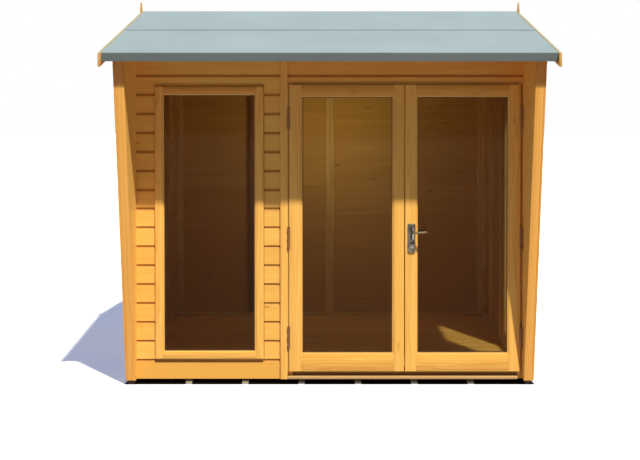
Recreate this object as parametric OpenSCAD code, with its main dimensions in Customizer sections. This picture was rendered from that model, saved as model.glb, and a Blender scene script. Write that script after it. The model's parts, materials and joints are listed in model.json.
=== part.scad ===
// Timber summerhouse with forward wings, a pair of glazed doors and an offset apex felt roof.
// Millimetres, +Z up, +X to the right seen from the front, the front faces -Y.
// The origin is on the ground, below the middle of the whole roof.

/* [House] */
// Width over the outer faces of the side walls
house_w = 2436; // [2100:1:2900]
// Depth from the front cladding face to the back cladding face
house_d = 1828; // [1500:1:2400]
// Joint left between members that butt together in one frame
butt_gap = 0.3; // [0.1:0.1:1]
// Clearance between a sloping member and what it lies against
seat_gap = 0.1; // [0.05:0.05:0.3]

/* [Shiplap cladding] */
// Thickness of the cladding boards
clad_t = 12; // [10:1:18]
// Height that one board covers
board_pitch = 114; // [90:1:140]
// Height of the scooped groove at the top of each board
groove_h = 17; // [8:1:24]
// Depth of the scooped groove
groove_d = 6; // [3:0.5:8]
// Flat faces that round the scoop of the groove
groove_steps = 3; // [1:1:5]

/* [Framing] */
// Width of a framing member across its face
stud_w = 32; // [26:1:45]
// Depth of a framing member from the cladding inwards
stud_d = 34; // [26:1:45]
// Width of a stud that lies behind the side of a window casing
stud_lap = 19; // [10:1:24]
// Height of a trimmer that lies behind the end of a window casing
trimmer_lap = 8; // [4:1:10]

/* [Base] */
// Width of a floor bearer
bearer_w = 38; // [30:1:60]
// Height of a floor bearer
bearer_h = 28; // [24:1:60]
// Number of floor bearers
bearer_count = 8; // [5:1:10]
// Setback of a bearer's end behind the cladding face
bearer_setback = 7; // [0:1:20]
// Thickness of the floor boards
floor_t = 15; // [12:1:20]

/* [Roof] */
// Height of the felt at the front and back eaves
eave_h = 1964; // [1900:1:2100]
// Height of the felt at the ridge
ridge_h = 2320; // [2200:1:2450]
// Reach of the bargeboards ahead of the front wall
front_overhang = 447; // [250:1:500]
// Reach of the bargeboards behind the back wall
back_overhang = 69; // [40:1:100]
// Reach of the bargeboards beyond each side wall
verge_overhang = 71; // [45:1:110]
// Thickness of the roofing felt
felt_t = 3; // [2:0.5:4]
// Thickness of the roof boards
deck_t = 12; // [9:1:18]
// Length of the lower felt strip that shows on the front slope
felt_show = 675; // [500:1:800]
// Overlap of one felt strip on the next
felt_lap = 75; // [50:1:120]
// Drop of the felt that folds down over an eave
felt_drop = 48; // [40:1:60]
// Run over which the upper felt settles onto the slope beside a lap
felt_ease = 24; // [10:1:40]
// Height of the fascia board at an eave
fascia_h = 44; // [30:1:70]
// Thickness of the fascia board
fascia_t = 14; // [10:1:20]
// Depth of a bargeboard, square to the slope
barge_w = 75; // [60:1:110]
// Thickness of a bargeboard
barge_t = 15; // [12:1:25]
// Distance that a bargeboard end stands ahead of the felt at an eave
barge_nose = 20; // [1:1:40]
// Rise of a bargeboard's top edge above the felt, square to the slope
barge_rise = 3; // [0:1:20]
// Depth of a purlin below the roof boards
purlin_h = 44; // [30:1:60]
// Purlins between the front wall and the ridge
front_purlins = 2; // [1:1:3]
// Purlins between the ridge and the back wall
back_purlins = 1; // [1:1:3]
// Depth of the ridge beam below the roof boards
ridge_beam_h = 88; // [60:1:140]

/* [Finials] */
// Rise of the finial point above the ridge
finial_rise = 62; // [40:1:100]
// Width of the finial across its face
finial_w = 50; // [40:1:90]
// Length of the finial below the ridge
finial_drop = 150; // [110:1:200]
// Thickness of the finial
finial_t = 11; // [9:1:25]

/* [Wings] */
// Reach of the wing ahead of the front wall at its foot
wing_foot = 38; // [30:1:100]
// Clearance from the wing edge at its top back to the fascia
wing_top_gap = 20; // [1:1:30]
// Thickness of the board that closes the slanted edge of a wing
wing_trim_t = 14; // [12:1:22]
// Overlap of that board past the outer face of the cladding
trim_over = 2; // [0:1:6]
// Thickness of the lining inside a wing
lining_t = 12; // [9:1:16]

/* [Windows] */
// Width of a window casing
casing_w = 650; // [500:1:760]
// Height of a window casing
casing_h = 1631; // [1200:1:1680]
// Height of the underside of a window casing above the ground
casing_z = 152; // [150:1:400]
// Width of the side members of a casing
casing_side = 45; // [35:1:60]
// Width of the top and bottom members of a casing
casing_rail = 40; // [35:1:60]
// Distance that a casing stands proud of the cladding
casing_proud = 14; // [12:1:21]
// Width of the glazing bead round every pane
bead_w = 13; // [8:1:18]
// Step from the face of a casing or door back to its bead
bead_step = 5; // [2:1:8]
// Thickness of the glass
glass_t = 4; // [3:1:6]
// Recess left in the cladding above and below a casing
recess_gap = 21; // [10:1:30]
// Gap at each side of a casing
side_gap = 3; // [2:1:8]
// Width of cladding between a wing and the front window
bay_outer = 114; // [60:1:180]
// Width of cladding between the front window and the cover strip
bay_inner = 100; // [60:1:180]
// Distance of a side window's centre behind the front wall
side_window_y = 420; // [400:1:1300]

/* [Cover strips] */
// Width of the strip between the window bay and the doors
cover_w = 42; // [40:1:60]
// Thickness of that strip
cover_t = 14; // [12:1:20]
// Width of the strips on the back wall and its corners
back_strip_w = 45; // [40:1:60]
// Thickness of the strips on the back wall and its corners
back_strip_t = 14; // [10:1:20]

/* [Doors] */
// Height of the door leaf
door_h = 1716; // [1650:1:1722]
// Height of the underside of the doors above the ground
door_z = 79; // [76:1:84]
// Thickness of a door
door_t = 24; // [22:1:30]
// Distance that a door stands proud of the cladding
door_proud = 18; // [16:1:26]
// Gap at each hinge side of the pair
hinge_gap = 15; // [14:1:18]
// Gap between the two doors
meet_gap = 11; // [8:1:14]
// Distance that the meeting edges lie left of the middle of the pair
meet_shift = 5; // [0:1:8]
// Width of a door stile
stile_w = 66; // [60:1:90]
// Height of the top rail of a door
top_rail_h = 63; // [50:1:90]
// Height of the bottom rail of a door
bottom_rail_h = 103; // [80:1:160]
// Thickness of the liner beside the right-hand wing
jamb_liner_t = 6; // [4:1:10]
// Setback of that liner behind the face of the doors
liner_setback = 2; // [0:1:10]
// Rise of the stop behind the foot of the doors
stop_rise = 12; // [8:1:20]
// Height of the sill face below the doors
sill_h = 22; // [16:1:24]
// Distance that the sill stands proud of the cladding
sill_proud = 12; // [6:1:20]
// Height of the underside of the cladding over the doors
header_z = 1816; // [1808:1:1840]

/* [Hinges] */
// Height of a butt hinge
hinge_h = 130; // [75:1:150]
// Outer radius of the hinge knuckle
knuckle_r = 5.5; // [5:0.25:6.5]
// Radius of the hinge pin
pin_r = 2.5; // [2:0.25:3]
// Running clearance round the pin
pin_gap = 0.3; // [0.2:0.1:0.5]
// Thickness of a hinge leaf
leaf_t = 2.5; // [2:0.25:3]
// Number of knuckles of a hinge
knuckle_count = 5; // [3:2:7]
// Depth of a leaf's ears behind its knuckles
leaf_ear = 2; // [1.5:0.5:3]
// Setback of a leaf from the back face of the door
leaf_setback = 2; // [1:0.5:4]
// Distance of the pin's axis in front of the door's face
pin_ahead = 1; // [0:0.5:2]
// Distance that a pin stops short of its hinge, in all
pin_short = 1; // [0.5:0.5:4]
// Gap between the pin's bore and the arm of a knuckle
arm_gap = 0.5; // [0.25:0.25:1]
// Depth of that arm's root in its leaf
arm_root = 0.1; // [0.05:0.05:0.5]
// Distance of the end hinges from the ends of the door
hinge_end = 200; // [150:1:260]
// Height of the middle hinge above the foot of the door
hinge_mid = 798; // [600:1:1000]

/* [Door handle] */
// Distance of the handle from the middle of its stile, away from the meeting edge
handle_shift = 6; // [0:1:8]
// Height of the lever's axis above the ground
lever_z = 917; // [850:1:1050]
// Width of a handle plate
plate_w = 46; // [40:1:50]
// Height of a handle plate
plate_h = 172; // [150:1:200]
// Thickness of a handle plate
plate_t = 9; // [6:1:10]
// Height of the lever's axis above the middle of its plate
plate_rise = 38; // [30:1:50]
// Radius of the spindle
spindle_r = 4; // [3:0.5:5]
// Clearance round the spindle and necks
spindle_gap = 0.6; // [0.4:0.1:1]
// Radius of the lever's neck
neck_r = 9; // [7:0.5:11]
// Distance from the plate to the middle of the lever
lever_reach = 38; // [35:1:55]
// Length of the lever from its axis to the tip
lever_len = 95; // [85:1:120]
// Radius of the lever at its neck end
lever_r = 7; // [6:0.5:9]
// Radius of the lever's tip
lever_tip_r = 5; // [4:0.5:6]
// Extra radius of the round end where the lever meets its neck
lever_swell = 2; // [1:0.5:3]
// Reach of the spindle into each lever
spindle_reach = 2; // [1:0.5:6]
// Distance that the key cylinder stands proud of each plate
key_proud = 2; // [1:0.5:4]
// Radius of a handle plate's corners
plate_corner = 7.5; // [4:0.5:10]
// Distance of the key cylinder below the lever's axis
key_drop = 58; // [45:1:70]
// Radius of the key cylinder
key_r = 9; // [7:0.5:10]

/* [Hidden] */
$fn = 48;
hull_fn = 24;
front_y = -(house_d + back_overhang - front_overhang) / 2;
back_y = front_y + house_d;
ridge_y = (front_y + back_y) / 2;
half_w = house_w / 2;
wing_in = half_w - clad_t - stud_d - lining_t;
roof_front = front_y - front_overhang;
roof_back = back_y + back_overhang;
verge_x = half_w + verge_overhang;
deck_x = verge_x - barge_t;
floor_z = bearer_h + floor_t;
felt_front = roof_front + barge_nose;
felt_back_y = roof_back - barge_nose;
slope_f = (ridge_h - eave_h) / (ridge_y - felt_front);
slope_b = (ridge_h - eave_h) / (felt_back_y - ridge_y);
deck_top = felt_t + seat_gap;
deck_low = deck_top + deck_t;
wall_depth = deck_low + seat_gap;
wing_top_y = felt_front + felt_t + fascia_t + wing_top_gap;
frame_in = clad_t + stud_d;
window_x = -wing_in + bay_outer;
strip_x = window_x + casing_w + bay_inner;
jamb_x = strip_x + cover_w;
liner_x = wing_in - jamb_liner_t;
leaf_w = (liner_x - jamb_x - 2 * hinge_gap - meet_gap) / 2;
left_leaf_w = leaf_w - meet_shift;
right_leaf_w = leaf_w + meet_shift;
left_door_x = jamb_x + hinge_gap;
right_door_x = liner_x - hinge_gap - right_leaf_w;
door_y = front_y - door_proud;
pin_y = door_y - pin_ahead;
left_pin_x = jamb_x + hinge_gap / 2;
right_pin_x = liner_x - hinge_gap / 2;
hinge_zs = [door_z + hinge_end, door_z + hinge_mid, door_z + door_h - hinge_end];
lever_x = right_door_x + stile_w / 2 + handle_shift;
lap_y = felt_front + felt_show / sqrt(1 + slope_f * slope_f);
board_base = bearer_h + groove_h / 3;
board_rows = ceil((ridge_h - bearer_h) / board_pitch);
bearer_span = house_w - 2 * clad_t - bearer_w;
trimmer_low = casing_z + trimmer_lap - stud_w;
trimmer_high = casing_z + casing_h - trimmer_lap;

// Height of the felt's face above the ground at a depth, carried on past the eaves
function front_z(y) = eave_h + slope_f * (y - felt_front);
function back_z(y) = eave_h + slope_b * (felt_back_y - y);
// Height of a plane that lies t below the felt's face, measured square to the slope
function front_under(y, t) = front_z(y) - t * sqrt(1 + slope_f * slope_f);
function back_under(y, t) = back_z(y) - t * sqrt(1 + slope_b * slope_b);
function under(y, t) = min(front_under(y, t), back_under(y, t));
// Depth of the slanted wing edge at a height
wing_top_z = front_under(wing_top_y, wall_depth);
function wing_edge(z) =
    front_y - wing_foot
    + (wing_top_y - front_y + wing_foot) * (z - bearer_h) / (wing_top_z - bearer_h);
// Run along Y that makes t square to the slanted edge
wing_lean = (front_y - wing_foot - wing_top_y) / (wing_top_z - bearer_h);
function wing_run(t) = t * sqrt(1 + wing_lean * wing_lean);
// Back face of the slanted trim: its two ends and, just behind it, its depth at a height
trim_foot_y = wing_edge(bearer_h) + wing_run(wing_trim_t);
trim_top_y = wing_top_y + wing_run(wing_trim_t);
trim_top_z = front_under(trim_top_y, wall_depth);
function behind_trim(z) =
    seat_gap + trim_foot_y
    + (trim_top_y - trim_foot_y) * (z - bearer_h) / (trim_top_z - bearer_h);

// ---------- helpers ----------

// Extrudes a (y, z) outline along X from x1 to x2
module along_x(x1, x2) {
    translate([x1, 0, 0])
        rotate([90, 0, 90])
            linear_extrude(height = x2 - x1)
                children();
}

// A block between two opposite corners
module block(low, high) {
    translate(low)
        cube(high - low);
}

// Points of one groove, a hollow quarter of an ellipse that ends at a height
function scoop(top) = [for (n = [0 : groove_steps])
    let (a = 90 * n / groove_steps)
    [groove_d * sin(a), top - groove_h * cos(a)]];

// Profile of a run of shiplap boards: (depth from the face, height)
function shiplap(rows) = concat(
    [for (n = [0 : rows - 1])
        let (z = n == 0 ? bearer_h : board_base + n * board_pitch,
             top = board_base + (n + 1) * board_pitch)
        for (p = concat([[0, z]], scoop(top))) p],
    [[clad_t, board_base + rows * board_pitch], [clad_t, bearer_h]]);

// Shiplap boards with their faces on y = 0, facing -Y, from x1 to x2
module boards(x1, x2, rows = board_rows) {
    along_x(x1, x2)
        polygon(shiplap(rows));
}

// Shiplap boards of a side wall, faces on the outer side x = side * half_w
module side_boards(side, y1, y2) {
    mirror([side < 0 ? 1 : 0, 0, 0])
        translate([half_w, 0, 0])
            rotate([0, 0, 90])
                boards(y1, y2);
}

// Outline of a side wall with its wing, behind the slanted trim
module wing_outline(y2) {
    polygon([
        [behind_trim(bearer_h), bearer_h],
        [y2, bearer_h],
        [y2, back_under(y2, wall_depth)],
        [ridge_y, under(ridge_y, wall_depth)],
        [behind_trim(trim_top_z), trim_top_z]
    ]);
}

// A glazed frame in (x, z) with its face on y = 0: a stepped bead runs round the pane
module sash(w, h, near, far, top, bottom, t) {
    difference() {
        block([0, 0, 0], [w, t, h]);
        block([near, -1, bottom], [w - far, bead_step, h - top]);
        block([near + bead_w, -1, bottom + bead_w], [w - far - bead_w, t + 1, h - top - bead_w]);
    }
}

// The pane of such a frame, held with a butt gap all round
module pane(w, h, near, far, top, bottom, t) {
    edge = bead_w + butt_gap;
    block([near + edge, (t - glass_t) / 2, bottom + edge],
          [w - far - edge, (t + glass_t) / 2, h - top - edge]);
}

// Places a window of the front wall
module at_front_window() {
    translate([window_x, front_y - casing_proud, casing_z])
        children();
}

// Places a window of a side wall
module at_side_window(side) {
    mirror([side < 0 ? 1 : 0, 0, 0])
        translate([half_w + casing_proud, front_y + side_window_y - casing_w / 2, casing_z])
            rotate([0, 0, 90])
                children();
}

// The hole in the cladding round a casing, from the casing's own corner
module casing_hole() {
    block([-side_gap, -1, -recess_gap],
          [casing_w + side_gap, casing_proud + clad_t + 1, casing_h + recess_gap]);
}

module casing() {
    sash(casing_w, casing_h, casing_side, casing_side, casing_rail, casing_rail,
         casing_proud + clad_t);
}

module casing_pane() {
    pane(casing_w, casing_h, casing_side, casing_side, casing_rail, casing_rail,
         casing_proud + clad_t);
}

// ---------- base ----------

// Bearers run from front to back; the outer two reach under the wings
module floor_bearers() {
    color("burlywood")
        for (n = [0 : bearer_count - 1]) {
            outer = n == 0 || n == bearer_count - 1;
            x = -bearer_span / 2 + n * bearer_span / (bearer_count - 1);
            y = outer ? trim_foot_y : front_y + bearer_setback;
            block([x - bearer_w / 2, y, 0], [x + bearer_w / 2, back_y - clad_t, bearer_h]);
        }
}

// Floor boards as one deck inside the cladding
module floor_deck() {
    color("sienna")
        block([-half_w + clad_t, front_y + clad_t, bearer_h],
              [half_w - clad_t, back_y - clad_t, floor_z]);
}

// ---------- front wall ----------

// Cladding of the window bay
module front_cladding() {
    color("goldenrod")
        difference() {
            intersection() {
                translate([0, front_y, 0])
                    boards(-wing_in, jamb_x);
                block([-wing_in, front_y - 1, 0],
                      [jamb_x, front_y + clad_t + 1, front_under(front_y, wall_depth)]);
            }
            at_front_window()
                casing_hole();
        }
}

// Cladding over the doors, cut square at its foot
module header_cladding() {
    color("goldenrod")
        intersection() {
            translate([0, front_y, 0])
                boards(jamb_x, wing_in);
            block([jamb_x, front_y - 1, header_z],
                  [wing_in, front_y + clad_t + 1, front_under(front_y, wall_depth)]);
        }
}

// Rails and studs of the window bay behind its cladding
module front_framing() {
    y1 = front_y + clad_t;
    y2 = y1 + stud_d;
    top = front_under(y1, wall_depth);
    x1 = -wing_in;
    x2 = jamb_x - butt_gap;
    left = window_x + stud_lap - stud_w;
    right = window_x + casing_w - stud_lap;
    color("peru") {
        block([x1, y1, floor_z], [x2, y2, floor_z + stud_w]);
        block([x1, y1, top - stud_w], [x2, y2, top]);
        for (x = [x1, left, right, x2 - stud_w])
            block([x, y1, floor_z + stud_w + butt_gap], [x + stud_w, y2, top - stud_w - butt_gap]);
        for (z = [trimmer_low, trimmer_high])
            block([left + stud_w + butt_gap, y1, z], [right - butt_gap, y2, z + stud_w]);
    }
}

// Posts that the doors close against, with the liner beside the wing
module door_posts() {
    y1 = front_y + clad_t;
    top = front_under(y1, wall_depth);
    color("peru") {
        block([jamb_x, y1, floor_z], [jamb_x + stud_w, y1 + stud_d, top]);
        block([wing_in - stud_w, y1, floor_z], [wing_in, y1 + stud_d, top]);
        block([liner_x, door_y + liner_setback, bearer_h + sill_h],
              [wing_in, y1 - butt_gap, header_z - butt_gap]);
    }
}

// Rail over the doors behind the header cladding
module door_head() {
    y1 = front_y + clad_t;
    color("peru")
        block([jamb_x + stud_w + butt_gap, y1, header_z - stud_w],
              [wing_in - stud_w - butt_gap, y1 + stud_d, header_z + stud_w]);
}

// Sill face below the doors and the stop behind it
module door_sill() {
    y1 = front_y + clad_t;
    color("goldenrod") {
        block([jamb_x, front_y - sill_proud, bearer_h],
              [wing_in - stud_w, y1 - butt_gap, bearer_h + sill_h]);
        block([jamb_x + stud_w + butt_gap, y1, floor_z],
              [wing_in - stud_w - butt_gap, y1 + stud_d, door_z + stop_rise]);
    }
}

// Upright strip between the window bay and the doors
module cover_strip() {
    y = front_y - cover_t;
    color("goldenrod")
        block([strip_x, y, bearer_h], [jamb_x, front_y, front_under(y, wall_depth)]);
}

module window_casing() {
    color("goldenrod")
        at_front_window()
            casing();
}

module window_glass() {
    color("lightblue", 0.4)
        at_front_window()
            casing_pane();
}

// ---------- side walls ----------

// Cladding of one side with its forward wing and its window
module side_wall(side) {
    color("goldenrod")
        difference() {
            intersection() {
                side_boards(side, roof_front, back_y + 1);
                along_x(side < 0 ? -half_w - 1 : half_w - clad_t - 1,
                        side < 0 ? -half_w + clad_t + 1 : half_w + 1)
                    wing_outline(back_y);
            }
            at_side_window(side)
                casing_hole();
        }
}

module left_wall() {
    side_wall(-1);
}

module right_wall() {
    side_wall(1);
}

// One upright of a side frame between y1 and y2, from z1 up to the top rail
module side_stud(y1, y2, z1) {
    polygon([
        [y1, z1],
        [y2, z1],
        [y2, under(y2, wall_depth + stud_w + butt_gap)],
        [y1, under(y1, wall_depth + stud_w + butt_gap)]
    ]);
}

// Framing of one side: rails, studs, the slanted wing stud and the window trimmers
module side_framing(side) {
    x1 = side < 0 ? -half_w + clad_t : half_w - clad_t - stud_d;
    rail_z = floor_z + stud_w + butt_gap;
    inner_y1 = front_y + frame_in;
    w1 = front_y + side_window_y - casing_w / 2;
    w2 = w1 + casing_w;
    y_back = back_y - clad_t;
    y_ridge = ridge_y - butt_gap;
    rail_foot_y = behind_trim(front_under(trim_top_y, wall_depth + stud_w));
    color("peru")
        along_x(x1, x1 + stud_d) {
            // foot rail inside the house
            polygon([[front_y + clad_t, floor_z], [y_back, floor_z],
                     [y_back, floor_z + stud_w], [front_y + clad_t, floor_z + stud_w]]);
            // top rails under both roof slopes
            polygon([
                [behind_trim(trim_top_z), trim_top_z],
                [y_ridge, front_under(y_ridge, wall_depth)],
                [y_ridge, front_under(y_ridge, wall_depth + stud_w)],
                [rail_foot_y, front_under(rail_foot_y, wall_depth + stud_w)]
            ]);
            polygon([
                [ridge_y, back_under(ridge_y, wall_depth)],
                [y_back, back_under(y_back, wall_depth)],
                [y_back, back_under(y_back, wall_depth + stud_w)],
                [ridge_y, back_under(ridge_y, wall_depth + stud_w)]
            ]);
            // uprights
            side_stud(front_y + clad_t, inner_y1, rail_z);
            side_stud(w1 + stud_lap - stud_w, w1 + stud_lap, rail_z);
            side_stud(w2 - stud_lap, w2 - stud_lap + stud_w, rail_z);
            side_stud(ridge_y - stud_w - butt_gap, ridge_y - butt_gap, rail_z);
            side_stud(ridge_y, ridge_y + stud_w, rail_z);
            side_stud((ridge_y + y_back) / 2, (ridge_y + y_back) / 2 + stud_w, rail_z);
            side_stud(y_back - stud_w, y_back, rail_z);
            // trimmers above and below the window
            for (z = [trimmer_low, trimmer_high])
                translate([w1 + stud_lap + butt_gap, z])
                    square([casing_w - 2 * stud_lap - 2 * butt_gap, stud_w]);
            // slanted stud behind the wing trim
            wing_stud();
        }
}

// Outline of the slanted stud along the wing edge
module wing_stud() {
    low = bearer_h;
    high = wing_top_z - 2 * stud_w;
    run = wing_run(stud_w);
    polygon([
        [behind_trim(low), low],
        [front_y + clad_t - butt_gap, low],
        [behind_trim(high) + run, high],
        [behind_trim(high), high]
    ]);
}

module left_wall_framing() {
    side_framing(-1);
}

module right_wall_framing() {
    side_framing(1);
}

module left_window_casing() {
    color("goldenrod")
        at_side_window(-1)
            casing();
}

module right_window_casing() {
    color("goldenrod")
        at_side_window(1)
            casing();
}

module left_window_glass() {
    color("lightblue", 0.4)
        at_side_window(-1)
            casing_pane();
}

module right_window_glass() {
    color("lightblue", 0.4)
        at_side_window(1)
            casing_pane();
}

// Boards that line the inner face of each wing ahead of and beside the front wall
module wing_linings() {
    color("goldenrod")
        for (side = [-1, 1])
            along_x(side < 0 ? -wing_in - lining_t : wing_in, side < 0 ? -wing_in : wing_in + lining_t)
                lining_outline(front_y + frame_in);
}

// Outline of a wing lining, behind the slanted trim and notched over the floor
module lining_outline(y2) {
    polygon([
        [behind_trim(bearer_h), bearer_h],
        [front_y + clad_t - butt_gap, bearer_h],
        [front_y + clad_t - butt_gap, floor_z],
        [y2, floor_z],
        [y2, front_under(y2, wall_depth)],
        [behind_trim(trim_top_z), trim_top_z]
    ]);
}

// Slanted boards that close the front edges of the wings
module wing_trims() {
    color("goldenrod")
        for (side = [-1, 1])
            along_x(side < 0 ? -half_w - trim_over : wing_in,
                    side < 0 ? -wing_in : half_w + trim_over)
                polygon([
                    [wing_edge(bearer_h), bearer_h],
                    [trim_foot_y, bearer_h],
                    [trim_top_y, trim_top_z],
                    [wing_top_y, wing_top_z]
                ]);
}

// ---------- back wall ----------

// Cladding of the two back panels
module back_wall() {
    top = back_under(back_y, wall_depth);
    color("goldenrod")
        for (x = [-half_w + clad_t, butt_gap])
            intersection() {
                translate([0, back_y, 0])
                    mirror([0, 1, 0])
                        boards(x, x + half_w - clad_t - butt_gap);
                block([x - 1, back_y - clad_t - 1, 0], [x + half_w, back_y + 1, top]);
            }
}

// Studs and rails of the two back panels
module back_wall_framing() {
    y2 = back_y - clad_t;
    y1 = y2 - stud_d;
    top = back_under(y2, wall_depth);
    far = half_w - clad_t - stud_d - butt_gap;
    near = butt_gap / 2;
    color("peru")
        for (side = [-1, 1])
            mirror([side < 0 ? 1 : 0, 0, 0]) {
                block([near, y1, floor_z], [far, y2, floor_z + stud_w]);
                block([near, y1, top - stud_w], [far, y2, top]);
                for (x = [near, half_w / 2 - stud_w / 2, far - stud_w])
                    block([x, y1, floor_z + stud_w + butt_gap],
                          [x + stud_w, y2, top - stud_w - butt_gap]);
            }
}

// Strips over the middle joint of the back wall and its two corners
module back_strips() {
    top = back_under(back_y + back_strip_t, wall_depth);
    color("goldenrod")
        for (x = [-half_w, -back_strip_w / 2, half_w - back_strip_w])
            block([x, back_y, bearer_h], [x + back_strip_w, back_y + back_strip_t, top]);
}

// ---------- roof ----------

// A flat member that lies under the roof boards between y1 and y2, h deep
module roof_member(y1, y2, h) {
    polygon([
        [y1, under(y1, wall_depth)],
        [y2, under(y2, wall_depth)],
        [y2, under(y2, wall_depth + h)],
        [y1, under(y1, wall_depth + h)]
    ]);
}

// A purlin whose front face is at y
module purlin(y) {
    roof_member(y, y + stud_w, purlin_h);
}

// Ridge beam and purlins between the side walls, with rails under the roof edges
module roof_framing() {
    span = half_w - clad_t - stud_d - butt_gap;
    edge = half_w + trim_over + butt_gap;
    color("peru") {
        along_x(-span, span) {
            polygon([
                [ridge_y - stud_w / 2, under(ridge_y - stud_w / 2, wall_depth)],
                [ridge_y, under(ridge_y, wall_depth)],
                [ridge_y + stud_w / 2, under(ridge_y + stud_w / 2, wall_depth)],
                [ridge_y + stud_w / 2, ridge_h - wall_depth - ridge_beam_h],
                [ridge_y - stud_w / 2, ridge_h - wall_depth - ridge_beam_h]
            ]);
            for (n = [1 : front_purlins])
                purlin(front_y + n * (ridge_y - front_y) / (front_purlins + 1));
            for (n = [1 : back_purlins])
                purlin(ridge_y + n * (back_y - ridge_y) / (back_purlins + 1));
        }
        // rail behind the front fascia between the wings
        along_x(-wing_in + butt_gap, wing_in - butt_gap)
            roof_member(felt_front + felt_t + fascia_t, felt_front + felt_t + fascia_t + stud_w,
                        purlin_h - deck_t);
        // rails along the roof edges outside the side walls
        for (side = [-1, 1])
            along_x(side < 0 ? -deck_x : edge, side < 0 ? -edge : deck_x) {
                roof_member(felt_front + felt_t + fascia_t, ridge_y - butt_gap, stud_w);
                roof_member(ridge_y, felt_back_y - felt_t - fascia_t, stud_w);
            }
    }
}

// Boards of the front slope
module front_roof_boards() {
    y1 = felt_front + felt_t;
    y2 = ridge_y - butt_gap;
    color("burlywood")
        along_x(-deck_x, deck_x)
            polygon([
                [y1, front_under(y1, deck_top)],
                [y2, front_under(y2, deck_top)],
                [y2, front_under(y2, deck_low)],
                [y1, front_under(y1, deck_low)]
            ]);
}

// Boards of the back slope
module back_roof_boards() {
    y2 = felt_back_y - felt_t;
    color("burlywood")
        along_x(-deck_x, deck_x)
            polygon([
                [ridge_y, back_under(ridge_y, deck_top)],
                [y2, back_under(y2, deck_top)],
                [y2, back_under(y2, deck_low)],
                [ridge_y, back_under(ridge_y, deck_low)]
            ]);
}

// Lower strip of felt with its fold down over the front fascia
module front_lower_felt() {
    y1 = felt_front;
    y2 = lap_y + felt_lap;
    color("lightsteelblue")
        along_x(-deck_x, deck_x)
            polygon([
                [y1, front_z(y1)],
                [y2, front_z(y2)],
                [y2, front_under(y2, felt_t)],
                [y1 + felt_t, front_under(y1 + felt_t, felt_t)],
                [y1 + felt_t, eave_h - felt_drop],
                [y1, eave_h - felt_drop]
            ]);
}

// Upper strip of felt: laps the lower strip and folds over the ridge
module front_upper_felt() {
    y1 = lap_y;
    y2 = lap_y + felt_lap + butt_gap;
    y3 = ridge_y + felt_lap;
    color("lightsteelblue")
        along_x(-deck_x, deck_x)
            polygon([
                [y1, front_under(y1, -seat_gap)],
                [y1, front_under(y1, -felt_t)],
                [y2, front_under(y2, -felt_t)],
                [y2 + felt_ease, front_under(y2 + felt_ease, 0)],
                [ridge_y - felt_ease, front_under(ridge_y - felt_ease, 0)],
                [ridge_y, ridge_h + felt_t],
                [y3, back_under(y3, -felt_t)],
                [y3, back_under(y3, -seat_gap)],
                [ridge_y, ridge_h + seat_gap],
                [ridge_y, front_under(ridge_y, felt_t)],
                [y2, front_under(y2, felt_t)],
                [y2, front_under(y2, -seat_gap)]
            ]);
}

// Felt of the back slope with its fold down over the back fascia
module back_felt() {
    y2 = felt_back_y;
    color("lightsteelblue")
        along_x(-deck_x, deck_x)
            polygon([
                [ridge_y + butt_gap, back_z(ridge_y + butt_gap)],
                [y2, back_z(y2)],
                [y2, eave_h - felt_drop],
                [y2 - felt_t, eave_h - felt_drop],
                [y2 - felt_t, back_under(y2 - felt_t, felt_t)],
                [ridge_y + butt_gap, back_under(ridge_y + butt_gap, felt_t)]
            ]);
}

// Fascia boards under both eaves, behind the folded felt
module fascias() {
    yf = felt_front + felt_t;
    yb = felt_back_y - felt_t;
    color("goldenrod")
        along_x(-deck_x, deck_x) {
            polygon([
                [yf, front_under(yf, wall_depth)],
                [yf + fascia_t, front_under(yf + fascia_t, wall_depth)],
                [yf + fascia_t, eave_h - fascia_h],
                [yf, eave_h - fascia_h]
            ]);
            polygon([
                [yb - fascia_t, back_under(yb - fascia_t, wall_depth)],
                [yb, back_under(yb, wall_depth)],
                [yb, eave_h - fascia_h],
                [yb - fascia_t, eave_h - fascia_h]
            ]);
        }
}

// Pair of bargeboards along one gable edge, mitred at the ridge
module bargeboards(side) {
    x1 = side < 0 ? -verge_x : deck_x;
    foot = barge_w - barge_rise;
    color("goldenrod")
        along_x(x1, x1 + barge_t) {
            polygon([
                [roof_front, front_under(roof_front, -barge_rise)],
                [ridge_y - butt_gap, front_under(ridge_y - butt_gap, -barge_rise)],
                [ridge_y - butt_gap, front_under(ridge_y - butt_gap, foot)],
                [roof_front, front_under(roof_front, foot)]
            ]);
            polygon([
                [ridge_y, back_under(ridge_y, -barge_rise)],
                [roof_back, back_under(roof_back, -barge_rise)],
                [roof_back, back_under(roof_back, foot)],
                [ridge_y, back_under(ridge_y, foot)]
            ]);
        }
}

module left_bargeboards() {
    bargeboards(-1);
}

module right_bargeboards() {
    bargeboards(1);
}

// Pointed boards that cover the mitres at both ends of the ridge
module finials() {
    color("goldenrod")
        for (side = [-1, 1])
            along_x(side < 0 ? -verge_x - finial_t : verge_x, side < 0 ? -verge_x : verge_x + finial_t)
                polygon([
                    [ridge_y, ridge_h + finial_rise],
                    [ridge_y - finial_w / 2, ridge_h],
                    [ridge_y - finial_w / 2, ridge_h - finial_drop + finial_w / 2],
                    [ridge_y, ridge_h - finial_drop],
                    [ridge_y + finial_w / 2, ridge_h - finial_drop + finial_w / 2],
                    [ridge_y + finial_w / 2, ridge_h]
                ]);
}

// ---------- doors ----------

// Knuckles number first, first + 2, ... of a hinge on the pin's axis, r_in > 0 bores them
module knuckles(first, r_in) {
    pitch = hinge_h / knuckle_count;
    for (n = [first : 2 : knuckle_count - 1])
        translate([0, 0, -hinge_h / 2 + n * pitch + butt_gap])
            difference() {
                cylinder(r = knuckle_r, h = pitch - 2 * butt_gap);
                if (r_in > 0)
                    translate([0, 0, -1])
                        cylinder(r = r_in, h = pitch + 2);
            }
}

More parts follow.
